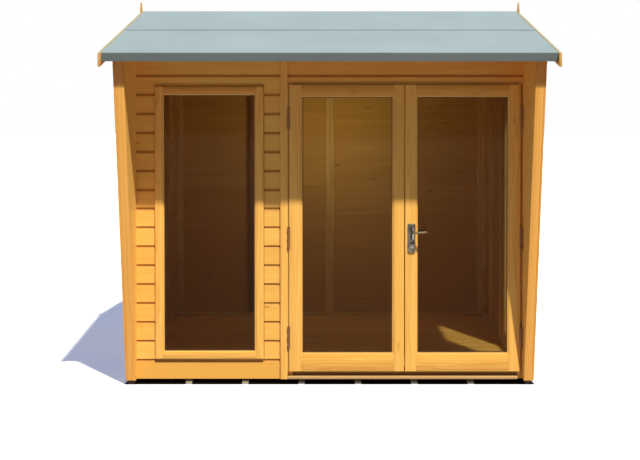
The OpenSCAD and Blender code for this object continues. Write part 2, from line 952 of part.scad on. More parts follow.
// Leaf of a hinge on the side toward +X of its pin, clear of the other leaf's knuckles
module hinge_leaf(first) {
    pitch = hinge_h / knuckle_count;
    for (n = [first : 2 : knuckle_count - 1])
        block([hinge_gap / 2 - leaf_t, -knuckle_r / 2, -hinge_h / 2 + n * pitch + butt_gap],
              [hinge_gap / 2, knuckle_r + leaf_ear, -hinge_h / 2 + (n + 1) * pitch - butt_gap]);
    block([hinge_gap / 2 - leaf_t, knuckle_r + leaf_ear / 2, -hinge_h / 2],
          [hinge_gap / 2, pin_ahead + door_t - leaf_setback, hinge_h / 2]);
}

// Arm that joins a knuckle to its leaf
module knuckle_arm(first) {
    pitch = hinge_h / knuckle_count;
    for (n = [first : 2 : knuckle_count - 1])
        block([pin_r + pin_gap + arm_gap, -knuckle_r / 2, -hinge_h / 2 + n * pitch + butt_gap],
              [hinge_gap / 2 - leaf_t + arm_root, knuckle_r / 2,
               -hinge_h / 2 + (n + 1) * pitch - butt_gap]);
}

// Half of a hinge that is screwed to the frame, with the pin
module frame_half() {
    mirror([1, 0, 0]) {
        knuckles(0, 0);
        knuckle_arm(0);
        hinge_leaf(0);
    }
    cylinder(r = pin_r, h = hinge_h - pin_short, center = true);
}

// Half of a hinge that is screwed to the door's edge
module door_half() {
    knuckles(1, pin_r + pin_gap);
    knuckle_arm(1);
    hinge_leaf(1);
}

// Places the three hinges of a door; side -1 is the left door
module at_hinges(side) {
    x = side < 0 ? left_pin_x : right_pin_x;
    for (z = hinge_zs)
        translate([x, pin_y, z])
            mirror([side > 0 ? 1 : 0, 0, 0])
                children();
}

module frame_hinges() {
    color("dimgray")
        for (side = [-1, 1])
            at_hinges(side)
                frame_half();
}

module left_door_hinges() {
    color("dimgray")
        at_hinges(-1)
            door_half();
}

module right_door_hinges() {
    color("dimgray")
        at_hinges(1)
            door_half();
}

// The left door's meeting stile is the narrower, so that both panes are alike
module left_door() {
    color("goldenrod")
        translate([left_door_x, door_y, door_z])
            sash(left_leaf_w, door_h, stile_w, stile_w - 2 * meet_shift, top_rail_h, bottom_rail_h,
                 door_t);
}

// The right-hand door is bored for the spindle and the key cylinder
module right_door() {
    color("goldenrod")
        difference() {
            translate([right_door_x, door_y, door_z])
                sash(right_leaf_w, door_h, stile_w, stile_w, top_rail_h, bottom_rail_h, door_t);
            lock_bore(lever_z, spindle_r + spindle_gap);
            lock_bore(lever_z - key_drop, key_r + butt_gap);
        }
}

// A bore through the door's closing stile
module lock_bore(z, r) {
    translate([lever_x, door_y - 1, z])
        rotate([-90, 0, 0])
            cylinder(r = r, h = door_t + 2);
}

module left_door_glass() {
    color("lightblue", 0.4)
        translate([left_door_x, door_y, door_z])
            pane(left_leaf_w, door_h, stile_w, stile_w - 2 * meet_shift, top_rail_h, bottom_rail_h,
                 door_t);
}

module right_door_glass() {
    color("lightblue", 0.4)
        translate([right_door_x, door_y, door_z])
            pane(right_leaf_w, door_h, stile_w, stile_w, top_rail_h, bottom_rail_h, door_t);
}

// Outer plate with its rounded corners, in (x, z) about the lever's axis
module plate_outline() {
    translate([0, -plate_rise])
        hull()
            for (x = [-1, 1], y = [-1, 1])
                translate([x * (plate_w / 2 - plate_corner), y * (plate_h / 2 - plate_corner)])
                    circle(r = plate_corner, $fn = hull_fn);
}

// Plates on both faces of the door and the key cylinder that passes through both
module handle_plates() {
    color("gray")
        translate([lever_x, door_y, lever_z])
            rotate([90, 0, 0]) {
                for (z = [0, -door_t - plate_t])
                    translate([0, 0, z])
                        difference() {
                            linear_extrude(height = plate_t)
                                plate_outline();
                            translate([0, 0, -1])
                                cylinder(r = neck_r + spindle_gap, h = plate_t + 2);
                        }
                translate([0, -key_drop, -door_t - plate_t - key_proud])
                    cylinder(r = key_r, h = door_t + 2 * (plate_t + key_proud));
            }
}

// One lever on its neck: z is its distance out from the door
module lever_half() {
    cylinder(r = neck_r, h = plate_t + lever_reach);
    hull() {
        translate([0, 0, plate_t + lever_reach])
            sphere(r = lever_r + lever_swell, $fn = hull_fn);
        translate([lever_len - lever_tip_r, 0, plate_t + lever_reach])
            sphere(r = lever_tip_r, $fn = hull_fn);
    }
}

// Both levers and the spindle that joins them through the door
module door_lever() {
    color("silver")
        translate([lever_x, door_y, lever_z])
            rotate([90, 0, 0]) {
                translate([0, 0, butt_gap])
                    lever_half();
                translate([0, 0, -door_t - butt_gap])
                    mirror([0, 0, 1])
                        lever_half();
                translate([0, 0, -door_t - spindle_reach])
                    cylinder(r = spindle_r, h = door_t + 2 * spindle_reach);
            }
}

floor_bearers();
floor_deck();
front_cladding();
front_framing();
header_cladding();
door_posts();
door_head();
door_sill();
cover_strip();
window_casing();
window_glass();
left_wall();
right_wall();
left_wall_framing();
right_wall_framing();
left_window_casing();
right_window_casing();
left_window_glass();
right_window_glass();
wing_linings();
wing_trims();
back_wall();
back_wall_framing();
back_strips();
roof_framing();
front_roof_boards();
back_roof_boards();
front_lower_felt();
front_upper_felt();
back_felt();
fascias();
left_bargeboards();
right_bargeboards();
finials();
frame_hinges();
left_door();
left_door_glass();
left_door_hinges();
right_door();
right_door_glass();
right_door_hinges();
handle_plates();
door_lever();
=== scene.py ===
"""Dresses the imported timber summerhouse: boards, joinery, felt roof, glass and door furniture.

Lengths are in metres. Timber is made board by board: a section is carried along each board, and the
board keeps its own grain coordinates and tone, which the stained-wood materials read. Places come
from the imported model's boxes, so the dressing follows the frame.
"""
import json
import logging
import math
from abc import ABC, abstractmethod
from collections.abc import Callable, Sequence
from dataclasses import dataclass, field
from enum import Enum

import bpy
import numpy as np
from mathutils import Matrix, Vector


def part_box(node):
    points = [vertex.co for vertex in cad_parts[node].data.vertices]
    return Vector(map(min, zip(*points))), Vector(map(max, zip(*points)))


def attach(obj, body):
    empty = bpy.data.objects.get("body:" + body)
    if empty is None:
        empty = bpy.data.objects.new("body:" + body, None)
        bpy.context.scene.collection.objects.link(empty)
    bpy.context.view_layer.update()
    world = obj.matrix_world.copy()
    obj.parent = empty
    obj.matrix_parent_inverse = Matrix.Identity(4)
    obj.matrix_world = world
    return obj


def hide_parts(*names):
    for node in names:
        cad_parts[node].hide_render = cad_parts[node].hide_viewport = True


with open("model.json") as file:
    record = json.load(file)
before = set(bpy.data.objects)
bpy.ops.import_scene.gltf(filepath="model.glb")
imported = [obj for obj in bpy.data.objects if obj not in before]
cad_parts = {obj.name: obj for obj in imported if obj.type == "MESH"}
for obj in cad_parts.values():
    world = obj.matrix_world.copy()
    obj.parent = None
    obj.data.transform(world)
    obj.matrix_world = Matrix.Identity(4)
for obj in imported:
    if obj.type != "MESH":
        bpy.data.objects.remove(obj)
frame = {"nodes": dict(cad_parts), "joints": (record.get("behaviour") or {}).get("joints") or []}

log = logging.getLogger("summerhouse")
MM = 0.001
# Turns (along, across, out) arrays into points in the frame.
Place = Callable[[np.ndarray, np.ndarray, np.ndarray], np.ndarray]
# Gives where a wall starts or ends, or how high a roof plane is, for an array of places.
Edge = Callable[[np.ndarray], np.ndarray]
# Moves finished points, such as a cut along a slope.
Cut = Callable[[np.ndarray], np.ndarray]
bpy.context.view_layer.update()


class Body(Enum):
    """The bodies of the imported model."""

    HOUSE = "house"
    LEFT_DOOR = "left_door"
    RIGHT_DOOR = "right_door"
    LEVER = "door_lever"


class Slot(Enum):
    """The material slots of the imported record."""

    CLADDING = "cladding"
    JOINERY = "joinery"
    FRAMING = "framing"
    FLOOR = "floor"
    BEARER = "bearer"
    ROOF_BOARDS = "roof_boards"
    FELT = "felt"
    GLASS = "glass"
    HINGE = "hinge_steel"
    HANDLE = "handle_metal"


class Run(Enum):
    """Which way an upright or level board runs."""

    X = 0
    Y = 1
    Z = 2


def cad(node: str) -> tuple[np.ndarray, np.ndarray]:
    """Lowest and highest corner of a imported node."""
    low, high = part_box(node)
    return np.array(low), np.array(high)


# ---------- colours and node trees ----------


def linear(code: str) -> tuple[float, float, float, float]:
    """Turns an sRGB hex colour into linear RGBA: c / 12.92 near black, ((c + 0.055) / 1.055) ** 2.4 above.

    Args:
        code: six hex digits with a leading hash.

    Returns:
        The linear colour with an alpha of one.
    """
    parts = [int(code[i : i + 2], 16) / 255 for i in (1, 3, 5)]
    bent = [c / 12.92 if c <= 0.04045 else ((c + 0.055) / 1.055) ** 2.4 for c in parts]
    return (*bent, 1.0)


def add_node(tree: bpy.types.NodeTree, kind: str, settings: dict | None = None, **inputs) -> bpy.types.Node:
    """Adds a node, sets it and links its inputs.

    Args:
        tree: the node tree.
        kind: the node's type name without "ShaderNode".
        settings: attributes of the node itself.
        inputs: socket name (spaces as underscores, or i0, i1 for an index) to a value, an output socket or
            a node, which stands for its first output.

    Returns:
        The new node.
    """
    node = tree.nodes.new("ShaderNode" + kind)
    for name, value in (settings or {}).items():
        setattr(node, name, value)
    for name, value in inputs.items():
        key = int(name[1:]) if name[0] == "i" and name[1:].isdigit() else name.replace("_", " ")
        if isinstance(value, bpy.types.Node):
            value = value.outputs[0]
        if isinstance(value, bpy.types.NodeSocket):
            tree.links.new(value, node.inputs[key])
        else:
            node.inputs[key].default_value = value
    return node


def new_material(
    name: str, surface: Callable[[bpy.types.NodeTree], bpy.types.Node]
) -> bpy.types.Material:
    """Makes a material from the shader that a function builds.

    Args:
        name: the material's name.
        surface: builds nodes in an empty tree and returns the shader.

    Returns:
        The new material.
    """
    material = bpy.data.materials.new(name)
    material.use_nodes = True
    tree = material.node_tree
    tree.nodes.clear()
    add_node(tree, "OutputMaterial", Surface=surface(tree))
    return material


# ---------- finishes ----------


class Finish(ABC):
    """A named finish, whose material is made once."""

    name: str

    @abstractmethod
    def surface(self, tree: bpy.types.NodeTree) -> bpy.types.Node:
        """Builds the finish's nodes and returns its shader."""

    def material(self) -> bpy.types.Material:
        """The finish's material, made on first use."""
        return bpy.data.materials.get(self.name) or new_material(self.name, self.surface)


@dataclass(frozen=True)
class StainedTimber(Finish):
    """Softwood under a translucent stain: growth rings, long fibre streaks, a few knots and a soft sheen."""

    name: str
    pale: str
    deep: str
    ring_mm: float = 11.0
    ring_share: float = 0.34
    streak_share: float = 0.4
    tone_share: float = 0.22
    roughness: float = 0.5
    bump_mm: float = 0.25
    knots: float = 0.55
    knot_stain: str = "#a8713f"
    painted_shade: str = "#cbb890"

    def surface(self, tree: bpy.types.NodeTree) -> bpy.types.Node:
        """Wood from the board's own grain coordinates, which run along, across and through it.

        Args:
            tree: the material's node tree.

        Returns:
            The shader.
        """
        grain, tone, pool = (
            add_node(tree, "Attribute", {"attribute_name": name}).outputs[socket]
            for name, socket in (("grain", "Vector"), ("tone", "Fac"), ("pool", "Fac")))
        # Noises drawn out along the grain: the heart's wandering, fibres 3 mm wide, which is coarser than
        # the real ones so that they show, and streaks about 40 mm wide.
        wander, fibre, broad = (
            add_node(tree, "TexNoise", Scale=1.0, Detail=detail, Vector=add_node(
                tree, "Mapping", Vector=grain, Scale=scale))
            for scale, detail in (
                ((1.3, 5.0, 5.0), 2.0), ((4.0, 320.0, 320.0), 3.0), ((1.6, 26.0, 26.0), 2.0)))
        # A board is cut beside the heart of the log, so its rings are distances from a line that wanders.
        centred = add_node(tree, "VectorMath", {"operation": "SUBTRACT"}, i0=wander.outputs["Color"],
                           i1=(0.5, 0.5, 0.5))
        drift = add_node(tree, "VectorMath", {"operation": "MULTIPLY"}, i0=centred, i1=(0.0, 0.075, 0.075))
        flat = add_node(tree, "VectorMath", {"operation": "MULTIPLY"}, i0=grain, i1=(0.0, 1.0, 1.0))
        heart = add_node(tree, "VectorMath", {"operation": "ADD"}, i0=flat, i1=drift)
        radius = add_node(tree, "VectorMath", {"operation": "LENGTH"}, i0=heart)
        turns = add_node(tree, "Math", {"operation": "MULTIPLY"}, i0=radius.outputs["Value"],
                         i1=2 * math.pi / (self.ring_mm * MM))
        wave = add_node(tree, "Math", {"operation": "SINE"}, i0=turns)
        # Latewood is a narrow dark band, so the wave is sharpened on one side.
        rings = add_node(tree, "MapRange", {"interpolation_type": "SMOOTHSTEP"}, Value=wave,
                         From_Min=-0.2, From_Max=1.0, To_Min=0.0, To_Max=1.0)
        share = add_node(tree, "Math", {"operation": "MULTIPLY"}, i0=rings, i1=self.ring_share)
        for streaks in (fibre, broad):
            band = add_node(tree, "MapRange", Value=streaks.outputs["Fac"], From_Min=0.35, From_Max=0.7,
                            To_Min=0.0, To_Max=self.streak_share)
            share = add_node(tree, "Math", {"operation": "ADD"}, i0=share, i1=band)
        lean = add_node(tree, "Math", {"operation": "MULTIPLY_ADD"}, i0=tone, i1=self.tone_share, i2=share)
        mixed = add_node(tree, "Mix", {"data_type": "RGBA"}, Factor=lean, i6=linear(self.pale),
                         i7=linear(self.deep))
        # Knots are 8 to 14 mm across and about 0.4 m apart.
        spots = add_node(tree, "TexVoronoi", {"feature": "F1"}, Scale=1.0, Randomness=1.0, Vector=add_node(
            tree, "Mapping", Vector=grain, Scale=(2.4, 9.0, 9.0)))
        knot = add_node(tree, "MapRange", {"interpolation_type": "SMOOTHSTEP"},
                        Value=spots.outputs["Distance"], From_Min=0.035, From_Max=0.1, To_Min=self.knots,
                        To_Max=0.0)
        # Knots are darker, and the darkening attribute mixes in the painted shade colour in hollows, along
        # joints and under the eaves.
        for factor, stain in ((knot, self.knot_stain), (pool, self.painted_shade)):
            mixed = add_node(tree, "Mix", {"data_type": "RGBA", "blend_type": "MULTIPLY"}, Factor=factor,
                             i6=mixed.outputs[2], i7=linear(stain))
        rough = add_node(tree, "MapRange", Value=fibre.outputs["Fac"], From_Min=0.3, From_Max=0.7,
                         To_Min=self.roughness - 0.06, To_Max=self.roughness + 0.08)
        relief = add_node(tree, "Math", {"operation": "ADD"}, i0=fibre.outputs["Fac"], i1=share)
        bump = add_node(tree, "Bump", Strength=0.35, Distance=self.bump_mm * MM, Height=relief)
        return add_node(tree, "BsdfPrincipled", Base_Color=mixed.outputs[2], Roughness=rough,
                        Normal=bump, IOR=1.46)


@dataclass(frozen=True)
class MineralFelt(Finish):
    """Roofing felt faced with crushed slate: a matt grey-blue with fine granules and faint roller marks."""

    name: str = "grey_mineral_roofing_felt"
    pale: str = "#88969e"
    deep: str = "#75838b"
    felt_dark: str = "#b6b0a8"
    granule_mm: float = 3.0

    def surface(self, tree: bpy.types.NodeTree) -> bpy.types.Node:
        """Felt on object coordinates; the granules are drawn coarser than the real 1 mm.

        Args:
            tree: the material's node tree.

        Returns:
            The shader.
        """
        where = add_node(tree, "TexCoord").outputs["Object"]
        grit = add_node(tree, "TexVoronoi", Vector=where, Scale=1 / (self.granule_mm * MM))
        cloud = add_node(tree, "TexNoise", Vector=where, Scale=1.7, Detail=4.0)
        speck = add_node(tree, "MapRange", Value=grit.outputs["Color"], From_Min=0.0, From_Max=1.0,
                         To_Min=0.25, To_Max=0.75)
        patch = add_node(tree, "MapRange", Value=cloud.outputs["Fac"], From_Min=0.3, From_Max=0.7,
                         To_Min=-0.2, To_Max=0.2)
        share = add_node(tree, "Math", {"operation": "ADD"}, i0=speck, i1=patch)
        colour = add_node(tree, "Mix", {"data_type": "RGBA"}, Factor=share, i6=linear(self.pale),
                          i7=linear(self.deep))
        # The felt is darker on the folds and at the lap, where the darkening is painted shadow of the upper
        # strip's edge.
        pool = add_node(tree, "Attribute", {"attribute_name": "pool"}).outputs["Fac"]
        felt_dark = add_node(tree, "Mix", {"data_type": "RGBA", "blend_type": "MULTIPLY"}, Factor=pool,
                        i6=colour.outputs[2], i7=linear(self.felt_dark))
        bump = add_node(tree, "Bump", Strength=0.3, Distance=0.6 * MM, Height=grit.outputs["Distance"])
        return add_node(tree, "BsdfPrincipled", Base_Color=felt_dark.outputs[2], Roughness=0.92, Normal=bump)


@dataclass(frozen=True)
class FloatGlass(Finish):
    """Clear float glass with a faint film of dust; lamps shine through it into the room.

    Its index is drawn low, so that it mirrors as little as panes that face open shade, and the daylight
    that it lets in is dimmed, as by the trees and walls that stand round a real garden.
    """

    name: str = "clear_float_glass"
    tint: str = "#f4faf6"
    daylight: str = "#b9b9b6"
    bend: float = 1.10

    def surface(self, tree: bpy.types.NodeTree) -> bpy.types.Node:
        """Glass that bends and mirrors sight but passes the rays that carry light.

        Args:
            tree: the material's node tree.

        Returns:
            The shader.
        """
        where = add_node(tree, "TexCoord").outputs["Object"]
        film = add_node(tree, "TexNoise", Vector=where, Scale=5.0, Detail=3.0)
        rough = add_node(tree, "MapRange", Value=film.outputs["Fac"], From_Min=0.35, From_Max=0.75,
                         To_Min=0.0, To_Max=0.035)
        pane = add_node(tree, "BsdfPrincipled", Base_Color=linear(self.tint), Roughness=rough,
                        Transmission_Weight=1.0, IOR=self.bend)
        clear = add_node(tree, "BsdfTransparent", Color=linear(self.daylight))
        path = add_node(tree, "LightPath")
        light = add_node(tree, "Math", {"operation": "MAXIMUM"}, i0=path.outputs["Is Shadow Ray"],
                         i1=path.outputs["Is Diffuse Ray"])
        return add_node(tree, "MixShader", i0=light, i1=pane, i2=clear)


@dataclass(frozen=True)
class Fitting(Finish):
    """Plated or lacquered fittings and the glazing tape: brushed lines and small scratches."""

    name: str
    pale: str
    deep: str
    roughness: float = 0.3
    metallic: float = 1.0

    def surface(self, tree: bpy.types.NodeTree) -> bpy.types.Node:
        """A fitting on object coordinates; the brushing runs up and down, drawn 1 mm apart.

        Args:
            tree: the material's node tree.

        Returns:
            The shader.
        """
        where = add_node(tree, "TexCoord").outputs["Object"]
        brush = add_node(tree, "TexNoise", Scale=1.0, Detail=2.0, Vector=add_node(
            tree, "Mapping", Vector=where, Scale=(1000.0, 1000.0, 60.0)))
        patch = add_node(tree, "TexNoise", Vector=where, Scale=45.0, Detail=3.0)
        share = add_node(tree, "Math", {"operation": "MULTIPLY"}, i0=brush.outputs["Fac"],
                         i1=patch.outputs["Fac"])
        lean = add_node(tree, "MapRange", Value=share, From_Min=0.12, From_Max=0.4)
        colour = add_node(tree, "Mix", {"data_type": "RGBA"}, Factor=lean, i6=linear(self.pale),
                          i7=linear(self.deep))
        rough = add_node(tree, "MapRange", Value=patch.outputs["Fac"], From_Min=0.3, From_Max=0.7,
                         To_Min=self.roughness - 0.05, To_Max=self.roughness + 0.1)
        return add_node(tree, "BsdfPrincipled", Base_Color=colour.outputs[2], Roughness=rough,
                        Metallic=self.metallic)


# Planed spruce under honey stain: warm and even, with faint rings; the scoops get painted shade.
CLADDING = StainedTimber("honey_stained_shiplap_spruce", "#f4bc5d", "#e3a447")
# Header boards are painted a deeper, redder honey: painted shade of the eaves.
HEADER = StainedTimber("deep_honey_stained_header_spruce", "#f4b256", "#e39b40")
# Planed redwood of doors, casings and strips: fewer knots and a little more sheen.
JOINERY = StainedTimber("honey_stained_planed_redwood", "#f7bc5f", "#de9c40", roughness=0.46, knots=0.3,
                        painted_shade="#d5c57e")
# The wings' trims are painted paler and more orange: painted sunlight.
TRIM = StainedTimber("honey_stained_wing_trim_redwood", "#fdb556", "#e89a3c", roughness=0.46, knots=0.3,
                     painted_shade="#d5c57e")
# Sawn framing, dipped: matt, with fibres that stand up.
SAWN = StainedTimber("honey_dipped_sawn_spruce", "#ecbd64", "#c99244", roughness=0.66, bump_mm=0.5,
                     painted_shade="#a8926a")
# Linings are the palest boards: painted light on the wings' inner faces.
LINING = StainedTimber("thinly_stained_wing_lining", "#ffc465", "#f0b258", roughness=0.48, knots=0.3)
# Feet have rubbed the sill greyer and duller.
SILL = StainedTimber("worn_stain_on_the_door_sill", "#c09865", "#ae834e", roughness=0.55, knots=0.2)
# The weather bar under the doors is a dark olive brown: painted shade behind the doors.
WEATHER_BAR = StainedTimber("dark_damp_weather_bar", "#8c5e0a", "#704a05", roughness=0.6, knots=0.0)
# The bargeboards' upper edges are a dull grey.
GREY_TOP_EDGE = StainedTimber("bleached_top_edge_of_bargeboard", "#a69d80", "#8d866a", roughness=0.7, knots=0.0)
# End grain drinks the stain and stays dull.
END_GRAIN = StainedTimber("stained_end_grain_of_softwood", "#c99a58", "#b08246", roughness=0.7, knots=0.0)
# Backs of the shiplap: dipped, sawn and matt.
INNER = StainedTimber("dipped_inner_face_of_shiplap", "#e4ab4a", "#cb913b", roughness=0.66, bump_mm=0.4)
# Floor boards: dipped, dry and a bright yellow.
FLOORING = StainedTimber("dipped_tongue_and_groove_floor", "#ffcb62", "#f0b450", roughness=0.6)
# Treated bearers: pale, and nearly black where painted shade darkens them.
BEARER = StainedTimber("pressure_treated_bearer_timber", "#f0dcb8", "#dcc096", roughness=0.7, bump_mm=0.5,
                       painted_shade="#34200e")
# Roof boards: bare sawn wood, seen from inside.
ROOF_BOARD = StainedTimber("plain_sawn_roof_boards", "#d9b57c", "#b98a50", roughness=0.7, bump_mm=0.5)
FELT = MineralFelt()
GLASS = FloatGlass()
# These two panes look faintly grey beside the left door's.
GREY_GLASS = FloatGlass("faintly_grey_float_glass", "#e6e6e2")
# Brown tape beds the glass: matt, a thin dark line round each pane, whose dark also stands as painted shade
# at the panes' edges.
TAPE = Fitting("brown_glazing_tape", "#4a280a", "#341b07", roughness=0.7, metallic=0.0)
# Lacquered hinge steel: a bronze brown with a dull gleam.
HINGE_STEEL = Fitting("bronze_lacquered_hinge_steel", "#98602c", "#6a4220", roughness=0.5, metallic=0.3)
# Old plating on zinc: dark grey-brown with soft highlights; the lever is browner and darker than the plate.
PEWTER = Fitting("antique_pewter_plated_zinc", "#766858", "#4d4842", roughness=0.38)
LEVER_METAL = Fitting("worn_pewter_plated_lever", "#6a5943", "#483f33", roughness=0.42)
# Painted highlights on the plate, pale and metallic.
PAINTED_HIGHLIGHT = Fitting("rubbed_bright_rib_of_the_plate", "#a9a69c", "#8b877c", roughness=0.45, metallic=0.4)
# The keyway is nearly black; the same finish draws painted shadow on the plate and painted shade on the inner
# lever.
KEYWAY_AND_PAINTED_SHADE = Fitting("dark_keyway_and_shadow_gaps", "#24211d", "#15130f", roughness=0.5, metallic=0.5)


# ---------- sections ----------


def planed(width: float, depth: float, arris: float = 1.5 * MM, steps: int = 2) -> np.ndarray:
    """Outline of a planed board's end: a rectangle whose corners are quarter circles.

    Args:
        width: size across the board.
        depth: size through the board.
        arris: radius of the eased corners.
        steps: straight pieces in each quarter circle.

    Returns:
        Points (across, out), anticlockwise, with the rectangle's low corner at zero.
    """
    turn = np.linspace(0, np.pi / 2, steps + 1)
    start = np.array([np.pi, 1.5 * np.pi, 0.0, 0.5 * np.pi])[:, None]
    angle = start + turn
    centre = np.array([[0, 0], [1, 0], [1, 1], [0, 1]]) * [width - 2 * arris, depth - 2 * arris] + arris
    ring = np.stack([np.cos(angle), np.sin(angle)], -1) * arris
    return (centre[:, None] + ring).reshape(-1, 2)


def shiplap(
    low: float, high: float, depth: float, groove_h: float, groove_d: float, steps: int = 6
) -> np.ndarray:
    """Outline of a shiplap board's end: eased lower edge, flat face and a hollow scoop up to its tongue.

    The scoop is a quarter of an ellipse, out = depth - groove_d * sin(a), up = high - groove_h * cos(a).

    Args:
        low: height of the lower edge.
        high: height of the top of the scoop.
        depth: thickness of the board.
        groove_h: height of the scoop.
        groove_d: depth of the scoop.
        steps: straight pieces in the scoop.

    Returns:
        Points (up, out), anticlockwise, with the back face at zero.
    """
    ease = 1.2 * MM
    a = np.linspace(np.pi / 2, 0, steps + 1)
    scoop = np.stack([high - groove_h * np.cos(a), depth - groove_d * np.sin(a)], 1)
    ends = np.array([[low, depth - ease], [low, 0.0], [high, 0.0]])
    return np.vstack([ends[1:], scoop, [[low + ease, depth]], ends[:1]])


def bead(width: float, depth: float, steps: int = 4) -> np.ndarray:
    """Outline of a glazing bead: square to the frame and the glass, and rounded to the light.

    Args:
        width: size away from the frame's edge.
        depth: size out from the glass.
        steps: straight pieces in the rounded face.

    Returns:
        Points (across, out), anticlockwise.
    """
    a = np.linspace(0, np.pi / 2, steps + 1)
    hollow = 0.62
    arc = np.stack([width * (1 - hollow * (1 - np.cos(a))), depth * (1 - hollow * (1 - np.sin(a)))], 1)
    return np.vstack([[[0, 0], [width, 0]], arc, [[0, depth]]])


def shrunk(section: np.ndarray, by: float) -> np.ndarray:
    """Draws a section in towards its middle: each point keeps the share 1 - 2 * by / size of its distance.

    Args:
        section: (n, 2) outline.
        by: how far each side comes in.

    Returns:
        The smaller outline.
    """
    low, high = section.min(0), section.max(0)
    middle, size = (low + high) / 2, np.maximum(high - low, 1e-6)
    return middle + (section - middle) * (1 - 2 * by / np.maximum(size, 4 * by))


def circle(count: int, radius: float) -> np.ndarray:
    """Points (cos, sin) * radius of a circle, anticlockwise, one for each equal turn."""
    turn = np.linspace(0, 2 * np.pi, count, endpoint=False)
    return np.stack([np.cos(turn), np.sin(turn)], 1) * radius


def eased(section: np.ndarray, start: float, end: float, by: float) -> tuple[np.ndarray, np.ndarray]:
    """A board's rings with eased ends: the section is drawn in at both ends of its run.

    Args:
        section: (n, 2) outline.
        start: where the board starts.
        end: where it ends.
        by: size of the eased edge.

    Returns:
        The (4, n, 2) outlines and their (4,) stations.
    """
    small = shrunk(section, by)
    return np.stack([small, section, section, small]), np.array([start, start + by, end - by, end])


def always(value: float) -> Edge:
    """A wall end that stands upright."""
    return lambda z: np.full_like(z, value)


def held(edge: Edge, limit: float, choose: np.ufunc) -> Edge:
    """A wall end kept on one side of a limit: choose is np.maximum or np.minimum."""
    return lambda z: choose(edge(z), limit)


# ---------- a stack of boards that becomes one mesh ----------


